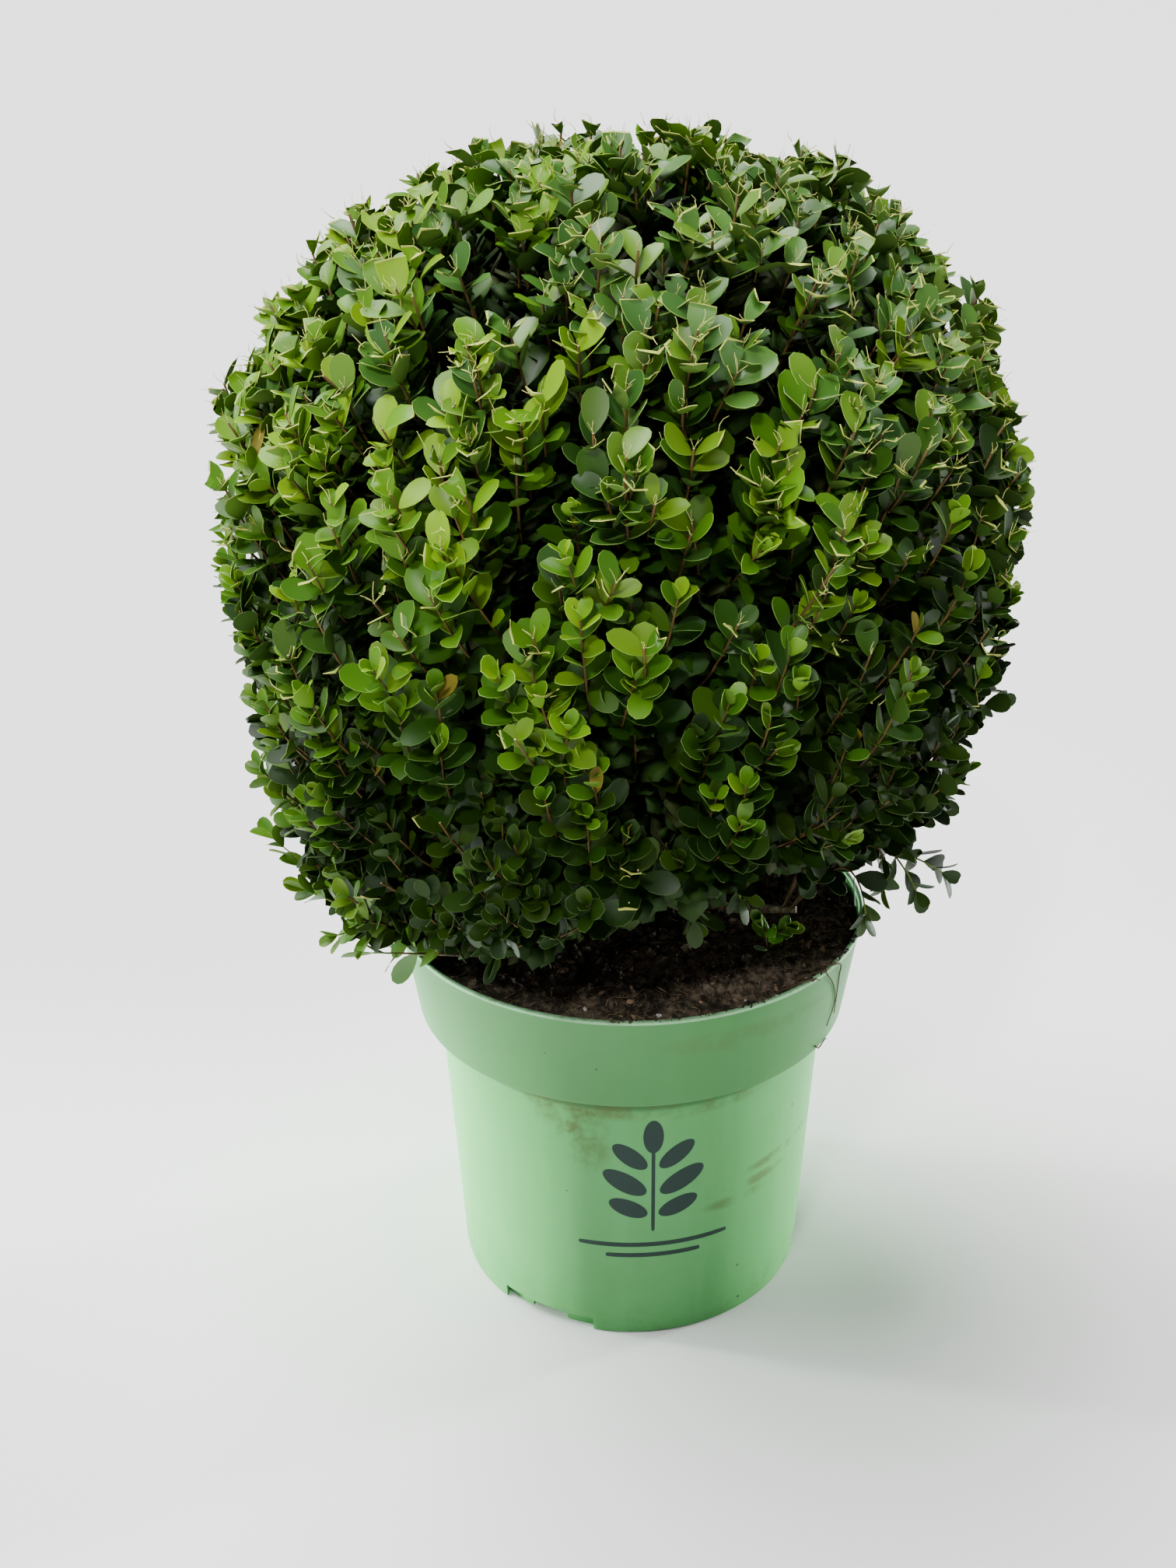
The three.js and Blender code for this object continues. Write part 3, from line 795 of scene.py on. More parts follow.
# crown: the same clipped outline as the solids
crown = {
    "middle": 472 * mm,
    "radius": 214 * mm,
    "top": 682 * mm,
    "bottom": 262 * mm,
    "shoulder": 2.4,
    "tuckIn": 0.57,
    "shiftX": -4 * mm,
    "underRadius": 112 * mm,
    "underLift": 10 * mm,
    "shoots": 840,
    "topShoots": 620,  # before those lower than topFrom are dropped
    "topFrom": 520 * mm,
    "fillShoots": 360,  # they end short of the surface and have leaves painted dark as shade
    "clumps": 130,
    "clumping": 0.35,
    "clumpSquash": 0.5,  # below 1 the clumps stand tall on the sides
    "cleft": 13 * mm,  # how deep the gaps between clumps go
    "swells": 40,
    "swellSize": 4.5 * mm,
    # lumps and dents of their own: way from the middle, reach, width
    "ownSwells": [
        ((0.118, 0.02, 0.190), 13 * mm, 0.13),
        ((0.160, 0.02, 0.150), -7 * mm, 0.15),
        ((0.185, 0.0, 0.115), 8 * mm, 0.15),
        ((-0.183, 0.02, 0.150), -9 * mm, 0.22),
        ((-0.05, 0.0, 0.21), -6 * mm, 0.22),
        ((0.05, 0.0, 0.21), 4 * mm, 0.18),
        ((0.090, 0.0, 0.205), -8 * mm, 0.12),
        ((0.190, 0.0, -0.134), -38 * mm, 0.33),
        ((0.190, 0.0, -0.060), -8 * mm, 0.18),
        ((0.200, 0.0, 0.085), -13 * mm, 0.17),
        ((0.170, 0.0, 0.140), 9 * mm, 0.10),
        ((-0.120, 0.0, 0.190), -7 * mm, 0.10),
        ((-0.190, -0.05, 0.06), 6 * mm, 0.22),
        ((-0.190, 0.0, -0.075), 8 * mm, 0.22),
        ((-0.140, 0.0, 0.155), 8 * mm, 0.16),
    ],
}
up = np.array([0.0, 0.0, 1.0])


def crownRadius(z):
    rise = np.clip((z - crown["middle"]) / (crown["top"] - crown["middle"]), 0, 1)
    fall = np.clip((crown["middle"] - z) / (crown["middle"] - crown["bottom"]), 0, 1.2)
    upper = np.sqrt(np.clip(1 - rise ** crown["shoulder"], 0, 1))
    lower = np.sqrt(np.clip(1 - (crown["tuckIn"] * fall) ** 2, 0, 1))
    return crown["radius"] * np.where(z >= crown["middle"], upper, lower)


# the outline from the top down to its lower edge, and in under it
def outlinePoints():
    span = crown["top"] - crown["middle"]
    upper = crown["middle"] + span * np.cos(np.linspace(0, np.pi / 2, 61))
    lower = np.linspace(crown["middle"], crown["bottom"], 40)[1:]
    z = np.concatenate([upper, lower, [crown["bottom"] + crown["underLift"]]])
    r = np.concatenate([crownRadius(z[:-1]), [crown["underRadius"]]])
    return r, z


# equal areas down the outline, a golden angle apart
def surfacePoints(count, random, jitter):
    r, z = outlinePoints()
    strips = np.hypot(np.diff(r), np.diff(z)) * (r[1:] + r[:-1])
    areas = np.concatenate([[0], np.cumsum(strips)])
    wanted = (np.arange(count) + 0.5 + random.uniform(-jitter, jitter, count)) / count * areas[-1]
    wanted = np.clip(wanted, 0, areas[-1] * 0.99999)
    k = np.searchsorted(areas, wanted, side="right") - 1
    share = (wanted - areas[k]) / (areas[k + 1] - areas[k])
    radius = r[k] + (r[k + 1] - r[k]) * share
    height = z[k] + (z[k + 1] - z[k]) * share
    golden = np.pi * (3 - np.sqrt(5))
    angle = np.arange(count) * golden + random.uniform(-1, 1, count) * jitter / np.sqrt(count) * 6
    run = unit(np.column_stack([r[k + 1] - r[k], z[k + 1] - z[k]]))
    tips = np.column_stack([radius * np.cos(angle) + crown["shiftX"], radius * np.sin(angle), height])
    normals = np.column_stack([-run[:, 1] * np.cos(angle), -run[:, 1] * np.sin(angle), run[:, 0]])
    return tips, normals


# soft lumps of the clipped surface: direction from the crown's middle, reach, width
def makeSwells():
    random = np.random.default_rng(8)
    aims = unit(random.normal(size=(crown["swells"], 3)))
    reach = random.uniform(-1, 1, crown["swells"]) * crown["swellSize"]
    width = random.uniform(0.18, 0.34, crown["swells"])
    ownAims, ownReach, ownWidth = zip(*crown["ownSwells"])
    aims = np.vstack([aims, unit(np.array(ownAims))])
    return aims, np.append(reach, ownReach), np.append(width, ownWidth)


swells = makeSwells()


def swell(points):
    aims, reach, width = swells
    away = unit(points - np.array([crown["shiftX"], 0, crown["middle"]]))
    near = np.clip(away @ aims.T, -1, 1)
    return (reach * np.exp(-((1 - near) * 2) / width ** 2)).sum(-1)


# how far a point is outside the clipped outline
def outside(points):
    radial = np.hypot(points[..., 0] - crown["shiftX"], points[..., 1])
    z = points[..., 2]
    sideways = radial - crownRadius(z)
    share = np.clip(radial / crown["radius"], 0, 1)
    span = crown["top"] - crown["middle"]
    ceiling = crown["middle"] + span * (1 - share ** 2) ** (1 / crown["shoulder"])
    above = z - ceiling
    return np.where(z > crown["middle"] + 0.6 * span, above, sideways) - swell(points)


# the underside: its height 120 mm from the axis and its slope outward, by angle about the axis
underside = np.array([
    (-180, 0.254, 0.22), (-150, 0.252, 0.30), (-128, 0.258, 0.52), (-108, 0.268, 0.60), (-90, 0.290, 0.62),
    (-68, 0.306, 0.66), (-45, 0.306, 0.60), (-25, 0.298, 0.40), (0, 0.285, 0.25), (45, 0.268, 0.22),
    (120, 0.262, 0.22), (180, 0.254, 0.22),
])


def undersideHeight(points):
    angle = np.degrees(np.arctan2(points[..., 1], points[..., 0]))
    base = np.interp(angle, underside[:, 0], underside[:, 1])
    slope = np.interp(angle, underside[:, 0], underside[:, 2])
    reach = np.hypot(points[..., 0], points[..., 1])
    return base + slope * (reach - 0.12)


# shoots
shoot = {
    "length": (70 * mm, 112 * mm),
    "middle": 0.6,  # shares of the length: tip to middle, middle to foot
    "rest": 0.45,
    "pairGap": 9.0 * mm,
    "leafLength": 18.5 * mm,
    "leafWidth": 0.60,  # of its length
    "spread": (0.84, 1.16),  # of leaves' sizes about these, by shoot
    "leafSpread": (0.8, 1.15),  # and by leaf
    "youngLeaf": 0.45,  # how much shorter the youngest leaves are
    "innerLonger": 1.15,
    "innerWidth": 0.62,
    "droop": 18 * mm,  # how far leaves may hang under the underside
    "clipHeight": 500 * mm,  # above this nearly every tip is cut
    "clipSpread": 40 * mm,
    "clippedBelow": 0.08,
    "clippedInset": (-4 * mm, 2 * mm),
    "freeInset": (-5 * mm, 6 * mm),
    "fillInset": (12 * mm, 30 * mm),
    "cleftFrom": 9 * mm,  # past a clump's nearest tip
    "cleftWidth": 17 * mm,
    "buried": 9 * mm,  # tips this far under the underside are left out
    "lowest": (-4, 26),  # mm over the underside
    "stemRadius": 0.85 * mm,
    "steps": 7,
    "missing": 0.03,
    "aged": 0.005,
    "fineDepth": 24 * mm,  # leaves deeper in than this have no pale edge
    "darkDepth": 40 * mm,  # and deeper than this are plain ones, painted dark as shade
}
plant = np.random.default_rng(2026)


# feet, middles and tips of the shoots, and what each shoot is like
def shootPlans():
    tips, normals = surfacePoints(crown["shoots"], plant, 0.45)
    more, moreNormals = surfacePoints(crown["topShoots"], plant, 0.5)
    fill, fillNormals = surfacePoints(crown["fillShoots"], plant, 0.5)
    onTop = more[:, 2] > crown["topFrom"]
    tips = np.vstack([tips, more[onTop], fill])
    normals = np.vstack([normals, moreNormals[onTop], fillNormals])
    count = len(tips)
    filling = np.arange(count) >= count - len(fill)
    centres, _ = surfacePoints(crown["clumps"], np.random.default_rng(5), 0.4)
    squash = crown["clumpSquash"] + (1 - crown["clumpSquash"]) * np.clip(normals[:, 2], 0, 1)
    stretch = np.column_stack([np.ones(count), np.ones(count), squash])
    gaps = np.linalg.norm((tips[:, None] - centres[None]) * stretch[:, None], axis=2)
    clump = gaps.argmin(1)
    pull = (centres[clump] - tips) * [1, 1, 0.3]
    tips = tips + pull * crown["clumping"] * plant.uniform(0.4, 1.0, (count, 1))
    edge = np.clip((gaps.min(1) - shoot["cleftFrom"]) / shoot["cleftWidth"], 0, 1)
    tops = np.clip(normals[:, 2:], 0, 1)
    unders = np.clip(-normals[:, 2:], 0, 1)
    flat = unit((tips - np.array([crown["shiftX"], 0, 0])) * [1, 1, 0] + 1e-9)
    outward = 0.42 + 0.45 * unders
    tipRun = flat * outward * (1 - tops) + normals * tops + up * (1 - 0.75 * unders)
    tipRun = unit(tipRun + plant.normal(0, 0.15, (count, 3)))
    rootRun = normals * (1 - 0.5 * unders) + up * 0.55 * (1 - unders) + flat * 0.3
    rootRun = unit(rootRun + plant.normal(0, 0.12, (count, 3)))
    tips = tips + normals * swell(tips)[:, None]
    high = tips[:, 2] > shoot["clipHeight"] + plant.normal(0, shoot["clipSpread"], count)
    clipped = (high | (plant.random(count) < shoot["clippedBelow"])) & ~filling
    inset = edge ** 1.5 * crown["cleft"] * plant.uniform(0.4, 1.3, count)
    cutInset = plant.uniform(*shoot["clippedInset"], count)
    freeInset = plant.uniform(*shoot["freeInset"], count)
    inset = inset + np.where(clipped, cutInset, freeInset)
    inset = inset + filling * plant.uniform(*shoot["fillInset"], count)
    tips = tips - normals * inset[:, None]
    keep = undersideHeight(tips) - tips[:, 2] <= shoot["buried"]
    low = undersideHeight(tips) + plant.uniform(*shoot["lowest"], count) * mm
    tips[:, 2] = np.maximum(tips[:, 2], low)
    length = plant.uniform(*shoot["length"], count) * (1 - 0.25 * tops[:, 0])
    middle = tips - tipRun * (length * shoot["middle"])[:, None]
    middle[:, 2] = np.maximum(middle[:, 2], undersideHeight(middle) + 6 * mm)
    roots = middle - rootRun * (length * shoot["rest"])[:, None]
    roots[:, 2] = np.maximum(roots[:, 2], undersideHeight(roots) + 14 * mm)
    controls = np.stack([roots, middle, tips], axis=1)
    clumpLight = np.random.default_rng(3).normal(0, 1, crown["clumps"])[clump]
    return controls[keep], clipped[keep], filling[keep], normals[keep], clumpLight[keep]


# colour groups: upper faces in four shades, then edge and underside, dealt out by spray; the groups are leaf
# ages and painted light together: Shade, Deep, Mid and Fresh run from shaded to lit, and Top's blue tint is a
# painted sky reflection
leafGroups = {
    "Deep": [(0.014, 0.050, 0.002), (0.020, 0.062, 0.002), (0.012, 0.040, 0.004), (0.030, 0.074, 0.003),
             (0.055, 0.130, 0.018), (0.034, 0.080, 0.010)],
    "Mid": [(0.044, 0.130, 0.002), (0.060, 0.155, 0.003), (0.034, 0.105, 0.004), (0.085, 0.172, 0.003),
            (0.135, 0.270, 0.025), (0.070, 0.150, 0.015)],
    "Fresh": [(0.080, 0.205, 0.002), (0.115, 0.255, 0.002), (0.064, 0.165, 0.003), (0.155, 0.290, 0.003),
              (0.24, 0.42, 0.030), (0.110, 0.230, 0.012)],
    "Top": [(0.038, 0.115, 0.012), (0.052, 0.140, 0.017), (0.028, 0.090, 0.012), (0.080, 0.175, 0.010),
            (0.190, 0.330, 0.050), (0.085, 0.165, 0.025)],
    "Shade": [(0.008, 0.026, 0.002), (0.012, 0.034, 0.002), (0.006, 0.019, 0.002), (0.018, 0.042, 0.002),
              (0.034, 0.070, 0.010), (0.020, 0.044, 0.006)],
}
deepGreen, midGreen, freshGreen, topGreen, shadeGreen = range(len(leafGroups))
slotOf = {"edge": 4, "under": 5, "torn": 6, "aged": 7}
# a shoot's painted light is a sum, and limits on it deal the shoot to a lit or shaded group; a pair of rows
# is heights in metres and the values there
tone = {
    "leftGain": ((0.36, 0.46, 0.58), (2.0, -1.3, 1.5)),
    "rightLoss": 1.8,
    "own": 0.5,  # how much single shoots differ
    "clump": 0.45,  # and whole clumps
    "rise": 5.5,  # per metre over the middle
    "middle": 470 * mm,
    "start": 0.5,
    "footLoss": ((0.27, 0.45), (3.1, 0)),
    "deepBelow": -0.45,
    "freshFrom": ((0.40, 0.52), (3.0, 1.0)),
    "freshTopFrom": 1.9,
    "topFrom": 0.56,  # above this half of the shoots count as top ones
    "youngFresh": ((0.40, 0.52), (0.0, 0.6)),  # share of young leaves
    "youngFreshFrom": 0.43,
    "shadeLine": 0.362,  # shoots that end lower are mostly in the shade
    "shadeTilt": 0.09,  # how much higher the line is at the right
    "shadeSpread": 16 * mm,
    "shadeShare": 0.7,
    "dimRise": 60 * mm,  # the dim band over the shade line
    "dimTilt": 70 * mm,
    "dimHighest": 0.54,
    "duller": 20 * mm,  # leaves this deep are a group darker, as painted shade
    # leaves deeper than this get the deep green, as painted shade
    "deepest": 32 * mm,
}
# columns of a leaf's row, after its root, its run and its face
lengthAt, widthAt, cutAt, shadeAt, groupAt = range(9, 14)


class LeafList:
    def __init__(self):
        self.rows = []

    def add(self, root, out, face, length, width, cut, shade, group):
        self.rows.append((*root, *out, *face, length, width, cut, shade, group))

    def table(self):
        return np.array(self.rows)


# a point on a shoot, the shoot's direction there and two directions across it
def pathFrame(path, run, at):
    reach = 3 * mm
    here, ahead, behind = [
        np.array([np.interp(s, run, path[:, a]) for a in range(3)])
        for s in (at, min(at + reach, run[-1]), max(at - reach, 0))
    ]
    stem = unit(ahead - behind)
    guide = up if abs(stem[2]) < 0.9 else np.array([1.0, 0, 0])
    side = unit(np.cross(stem, guide))
    return here, stem, side, np.cross(stem, side)


pair = {
    "twist": 0.12,  # radians, off a right angle from pair to pair
    "youngPairs": 2.8,
    "opening": 0.77,  # radians between leaf and shoot
    "youngOpening": 0.40,  # less by this at the tip
    "openingSpread": (0.7, 1.25),
    "openingGain": 0.03,  # for each of the first five pairs
    "runSpread": 0.10,
    "towardLight": (0.1, 1.1),
    "faceSpread": 0.2,
    "stalk": 0.6 * mm,
}


# pairs of leaves down a shoot from its tip, each pair crosswise to the last
def leafPairs(path, gap, firstBack, clipped, toward, random):
    run = np.concatenate([[0], np.cumsum(np.linalg.norm(np.diff(path, axis=0), axis=1))])
    turn = random.uniform(0, np.pi)
    twist = random.normal(0, pair["twist"])
    back, k = firstBack, 0
    while back < run[-1] - 2 * mm:
        here, stem, side, other = pathFrame(path, run, run[-1] - back)
        young = 0 if clipped else max(0.0, 1 - k / pair["youngPairs"])
        for half in (0, np.pi):
            spin = turn + half + k * (np.pi / 2 + twist)
            about = side * math.cos(spin) + other * math.sin(spin)
            opening = pair["opening"] - pair["youngOpening"] * young
            opening = opening * random.uniform(*pair["openingSpread"]) + pair["openingGain"] * min(k, 5)
            out = stem * math.cos(opening) + about * math.sin(opening)
            out = unit(out + random.normal(0, pair["runSpread"], 3))
            face = unit(stem - out * stem.dot(out)) + toward * random.uniform(*pair["towardLight"])
            face = face + random.normal(0, pair["faceSpread"], 3)
            yield here + out * pair["stalk"], out, unit(face - out * face.dot(out)), young
        back += gap * (0.5 + 0.5 * min(1, k / 3 + (0.6 if clipped else 0)))
        k += 1


# how far tips may reach past the solids' box
tipLimits = np.array(cadBox) + np.array([[-9, -9, 0], [9, 9, 12]]) * mm


def beyond(point):
    return (point < tipLimits[0]).any() or (point > tipLimits[1]).any()


def byHeight(point, table):
    return np.interp(point[2], *table)


# deals a shoot to a group by its painted light; upward-facing shoots and half the high ones get the Top
# group's painted sky reflection unless brightly lit
def shootGroup(tip, normal, own, clumpLight, filling):
    left = -tip[0] / crown["radius"]
    lean = byHeight(tip, tone["leftGain"]) if left > 0 else tone["rightLoss"]
    light = lean * left + tone["own"] * own + tone["clump"] * clumpLight
    light = light + tone["rise"] * (tip[2] - tone["middle"]) + tone["start"]
    light = light - byHeight(tip, tone["footLoss"])
    if normal[2] > 0.5 or (tip[2] > tone["topFrom"] and plant.random() < 0.5):
        return topGreen if light < tone["freshTopFrom"] else freshGreen
    if light < tone["deepBelow"] or filling:
        return deepGreen
    return midGreen if light < byHeight(tip, tone["freshFrom"]) else freshGreen


def growLeaves():
    controls, clipped, filling, normals, clumpLight = shootPlans()
    fine, plain, inner = LeafList(), LeafList(), LeafList()
    paths = curvedPath(controls, 24)
    count, tips = len(controls), controls[:, 2]
    own = plant.normal(0, 1, count)
    level = np.maximum(outside(tips), -6 * mm) + 2 * mm
    rightward = np.clip(tips[:, 0] / crown["radius"], 0, 1)
    # painted shade: low shoots, with the line higher at the right, and deeper leaves in a dim band above it,
    # are dealt the Shade group
    spread = plant.normal(0, tone["shadeSpread"], count)
    shadeLine = tone["shadeLine"] + tone["shadeTilt"] * rightward + spread
    low = (tips[:, 2] < shadeLine) & (plant.random(count) < tone["shadeShare"])
    dimLine = shadeLine + tone["dimRise"] + tone["dimTilt"] * rightward
    dim = tips[:, 2] < np.minimum(dimLine, tone["dimHighest"])
    droop = shoot["droop"] * plant.random(count) ** 2
    steps = np.linspace(0.35, 1.0, 7)  # along a leaf, where the shears may cut it
    for i, tip in enumerate(tips):
        group = shootGroup(tip, normals[i], own[i], clumpLight[i], filling[i])
        size = shoot["leafLength"] * plant.uniform(*shoot["spread"])
        gap = shoot["pairGap"] * plant.uniform(0.85, 1.2)
        first = plant.uniform(1, 6) * mm if clipped[i] else 1.0 * mm
        away = tip - np.array([crown["shiftX"], 0, crown["middle"] - 60 * mm])
        toward = unit(unit(away) + up * 0.35)
        youngFresh = byHeight(tip, tone["youngFresh"]) * (1 - 0.6 * rightward[i])
        youngest = freshGreen if tip[2] > tone["youngFreshFrom"] else midGreen
        for root, out, face, young in leafPairs(paths[i], gap, first, clipped[i], toward, plant):
            length = size * (1 - shoot["youngLeaf"] * young) * plant.uniform(*shoot["leafSpread"])
            far = root + out * length
            depth = -outside(root)
            sunk = far[2] < undersideHeight(far) - droop[i]
            if sunk or beyond(far) or plant.random() < shoot["missing"]:
                continue
            if depth > shoot["darkDepth"] + plant.uniform(-6, 6) * mm:
                length, width = length * shoot["innerLonger"], shoot["innerWidth"]
                inner.add(root, out, face, length, width, 1, plant.integers(0, 3), deepGreen)
                continue
            cut = 1.0
            past = outside(root + out * (length * steps)[:, None]) > level[i] + plant.uniform(-1, 3) * mm
            if past.any() and clipped[i]:
                cut = steps[past.argmax()]
                if past[0]:
                    continue
            elif past.any() and outside(far) > 8 * mm:
                length *= 0.7
            shade = plant.integers(0, 4)
            use = group
            # young leaves are fresher green, but fewer of them low down and at the right, as painted shade
            if young > 0.3 and not filling[i]:
                fresh = plant.random() < youngFresh
                use = freshGreen if fresh else min(group + (not low[i]), youngest)
            # painted shade: leaves deep in the ball are a group darker, the deepest ones deep green
            if depth > tone["duller"] and group < topGreen:
                use = max(deepGreen, group - 1)
            if depth > tone["deepest"]:
                use = deepGreen
            inShade = low[i] and use == deepGreen
            if inShade or dim[i] and (filling[i] or depth > plant.uniform(2, 14) * mm):
                use = shadeGreen
            if plant.random() < shoot["aged"] and not low[i]:
                shade = slotOf["aged"]
            width = shoot["leafWidth"] * plant.uniform(*shoot["spread"])
            near = depth < shoot["fineDepth"] and not filling[i]
            kind = fine if near or cut < 1 else plain
            kind.add(root, out, face, length, width, cut, shade, use)
    return controls, clipped, fine, plain, inner


blade = {
    # outline: share of the length, half the width as a share of the full half width
    "stations": (
        (0.0, 0.07), (0.15, 0.47), (0.36, 0.86), (0.58, 1.0), (0.78, 0.92), (0.93, 0.60), (1.0, 0.0),
    ),
    "fold": (-0.05, 0.50),  # up from the rib
    "curl": (-0.18, 0.32),  # down along the rib
    "lean": 0.10,
    "lensCurl": (-0.14, 0.26),
    "thick": 0.24 * mm,
    "edge": 0.17 * mm,  # how far the underside stands out past the upper face
    "lensDepth": 0.35 * mm,
    "ragged": (-0.32, 0.08),  # of cut leaves, as a share of the length
    "fray": (0.0, 0.05),
    "frayLift": 0.4 * mm,
    "mostInMesh": 2800,
}
bladeRows = len(blade["stations"]) - 2
bladeCorners = 3 * bladeRows + 3  # of one side


def bladeWidth(u):
    places, widths = zip(*blade["stations"])
    return np.interp(u, places, widths)


# a table of the corner pairs that are sharp edges, from closed loops of corners
def sharpTable(corners, *loops):
    table = np.zeros((corners, corners), bool)
    for loop in loops:
        for a, b in zip(loop, loop[1:] + loop[:1]):
            table[a, b] = table[b, a] = True
    return table


# local corners (leaves, corners, 3) set on each leaf's root along its run, side and face
def onLeaves(table, local):
    out, face = table[:, 3:6], table[:, 6:9]
    axes = np.stack([out, np.cross(face, out), face], axis=1)
    return table[:, None, 0:3] + np.einsum("nvk,nkj->nvj", local, axes)


# corners: two at the foot, then left, rib and right at every row, the tip; then the same below;
# a face's role is 0 or 1 above, 2 or 3 on the rim, 4 or 5 below, and odd at the tip
def bladeFaces():
    last, below = bladeRows, bladeCorners
    left = [0] + [2 + 3 * k for k in range(last)]
    mid = [None] + [3 + 3 * k for k in range(last)]
    right = [1] + [4 + 3 * k for k in range(last)]
    tip = below - 1
    topFaces = [(right[0], right[1], mid[1]), (right[0], mid[1], left[0]), (left[0], mid[1], left[1])]
    role = [0, 0, 0]
    for a in range(1, last):
        b = a + 1
        topFaces += [
            (right[a], right[b], mid[b]), (right[a], mid[b], mid[a]),
            (mid[a], mid[b], left[b]), (mid[a], left[b], left[a]),
        ]
        role += [1 if b == last else 0] * 4
    topFaces += [(right[last], tip, mid[last]), (mid[last], tip, left[last])]
    role += [1, 1]
    under = [(c + below, b + below, a + below) for a, b, c in topFaces]
    loop = [*right, tip, *left[::-1]]
    rim, rimRole = [], []
    for a, b in zip(loop, loop[1:] + loop[:1]):
        rim += [(a + below, b + below, b), (a + below, b, a)]
        rimRole += [3 if {a, b} & {right[last], left[last], tip} else 2] * 2
    faces = np.array(topFaces + rim + under)
    roles = np.array(role + rimRole + [r + 4 for r in role])
    return faces, roles, sharpTable(2 * below, loop, [c + below for c in loop])


def bladePlaces(table, random):
    count, rows, corners = len(table), bladeRows, bladeCorners
    length, width, cut = table[:, lengthAt], table[:, widthAt], table[:, cutAt]
    stations = [place for place, _ in blade["stations"]]
    intact = cut > 0.99
    u = np.zeros((count, corners))
    ragged = random.uniform(*blade["ragged"], (count, 3))
    fray = random.uniform(*blade["fray"], (count, 3))
    for k in range(rows):
        trimmed = cut * min(1, stations[k + 1] / stations[rows - 1])
        for j in range(3):
            end = trimmed
            if k >= rows - 2:
                end = end + ragged[:, j]
            if k == rows - 1:
                end = end + fray[:, j]
            u[:, 2 + 3 * k + j] = np.where(intact, stations[k + 1], end)
    u[:, -1] = np.where(intact, 1.0, u[:, -3] + 0.012)
    half = bladeWidth(np.clip(u, 0, 1)) * (length * width / 2)[:, None]
    sign = np.array([1, -1] + [1, 0, -1] * rows + [0])
    across = half * sign
    along = u * length[:, None]
    fold = random.uniform(*blade["fold"], (count, 1))
    curl = random.uniform(*blade["curl"], (count, 1))
    lean = random.normal(0, blade["lean"], (count, 1))
    rise = fold * np.abs(across) - curl * along * u + lean * across
    torn = (~intact)[:, None] & (np.arange(corners) >= corners - 4)
    rise = rise + torn * random.normal(0, blade["frayLift"], (count, corners))
    upper = np.stack([along, across, rise], axis=2)
    lower = upper.copy()
    lower[:, :, 2] -= blade["thick"]
    lower[:, :, 1] += sign * blade["edge"]
    lower[:, -1, 0] += blade["edge"]
    return onLeaves(table, np.concatenate([upper, lower], axis=1))


# deeper leaves: a shut lens with a fold along the rib
def lensFaces():
    left, right = [1, 4, 7], [3, 6, 9]
    sheets = []
    for rib in ([2, 5, 8], [11, 12, 13]):
        faces = [(0, right[0], rib[0]), (0, rib[0], left[0])]
        for a in range(2):
            faces += [
                (right[a], right[a + 1], rib[a + 1]), (right[a], rib[a + 1], rib[a]),
                (rib[a], rib[a + 1], left[a + 1]), (rib[a], left[a + 1], left[a]),
            ]
        sheets.append(faces + [(right[2], 10, rib[2]), (rib[2], 10, left[2])])
    upper, lower = sheets
    faces = np.array(upper + [face[::-1] for face in lower])
    roles = np.array([0] * len(upper) + [5] * len(lower))
    return faces, roles, sharpTable(14, [0, 3, 6, 9, 10, 7, 4, 1])


def lensPlaces(table, random):
    count = len(table)
    length, width = table[:, [lengthAt]], table[:, [widthAt]]
    u = np.array([0, 0.24, 0.24, 0.24, 0.58, 0.58, 0.58, 0.88, 0.88, 0.88, 1, 0.24, 0.58, 0.88])
    sign = np.array([0, 1, 0, -1, 1, 0, -1, 1, 0, -1, 0, 0, 0, 0])
    below = np.array([0] * 11 + [1] * 3)
    across = bladeWidth(u) * sign * length * width / 2
    along = u * length
    fold = random.uniform(*blade["fold"], (count, 1))
    curl = random.uniform(*blade["lensCurl"], (count, 1))
    rise = fold * np.abs(across) - curl * along * u - below * blade["lensDepth"]
    return onLeaves(table, np.stack([along, across, rise], axis=2))


def leafFinish(name, colour, roughness, coat=0.0, specular=0.2):
    finish = Finish(name, colour, roughness)
    finish.set("Specular IOR Level", specular)
    finish.set("Coat Weight", coat)
    finish.set("Coat Roughness", 0.3)
    return finish.material


sharedFinishes = [
    leafFinish("tornEdge", (0.40, 0.45, 0.09), 0.8),
    leafFinish("agedLeaf", (0.17, 0.14, 0.014), 0.6),
]
leafGloss = {"Top": (0.08, 0.30), "Shade": (0.0, 0.14)}  # coat and specular, where they differ
groupFinishes = {}
for name, colours in leafGroups.items():
    gloss = leafGloss.get(name, (0.02, 0.22))
    own = [leafFinish(f"leaf{name}{k}", colour, 0.42, *gloss) for k, colour in enumerate(colours)]
    groupFinishes[name] = own + sharedFinishes


def bladePiece(name, rows, group, node, random):
    faces, roles, sharp = bladeFaces()
    places = bladePlaces(rows, random)
    shade = rows[:, [shadeAt]].astype(int)
    cut = rows[:, [cutAt]] < 0.99
    roles = roles[None]
    slot = np.where(roles < 2, shade, np.where(roles < 4, slotOf["edge"], slotOf["under"]))
    slot = np.where(cut & (roles % 2 == 1), slotOf["torn"], slot)
    slot = np.where((shade == slotOf["aged"]) & (roles < 4), slotOf["aged"], slot)
    finishPiece(joinedMesh(name, places, faces, groupFinishes[group], slot, sharp), node)


def lensPiece(name, rows, group, random):
    faces, roles, sharp = lensFaces()
    places = lensPlaces(rows, random)
    slot = np.where(roles[None] == 0, rows[:, [shadeAt]].astype(int), slotOf["under"])
    finishPiece(joinedMesh(name, places, faces, groupFinishes[group], slot, sharp), "foliage_ball")


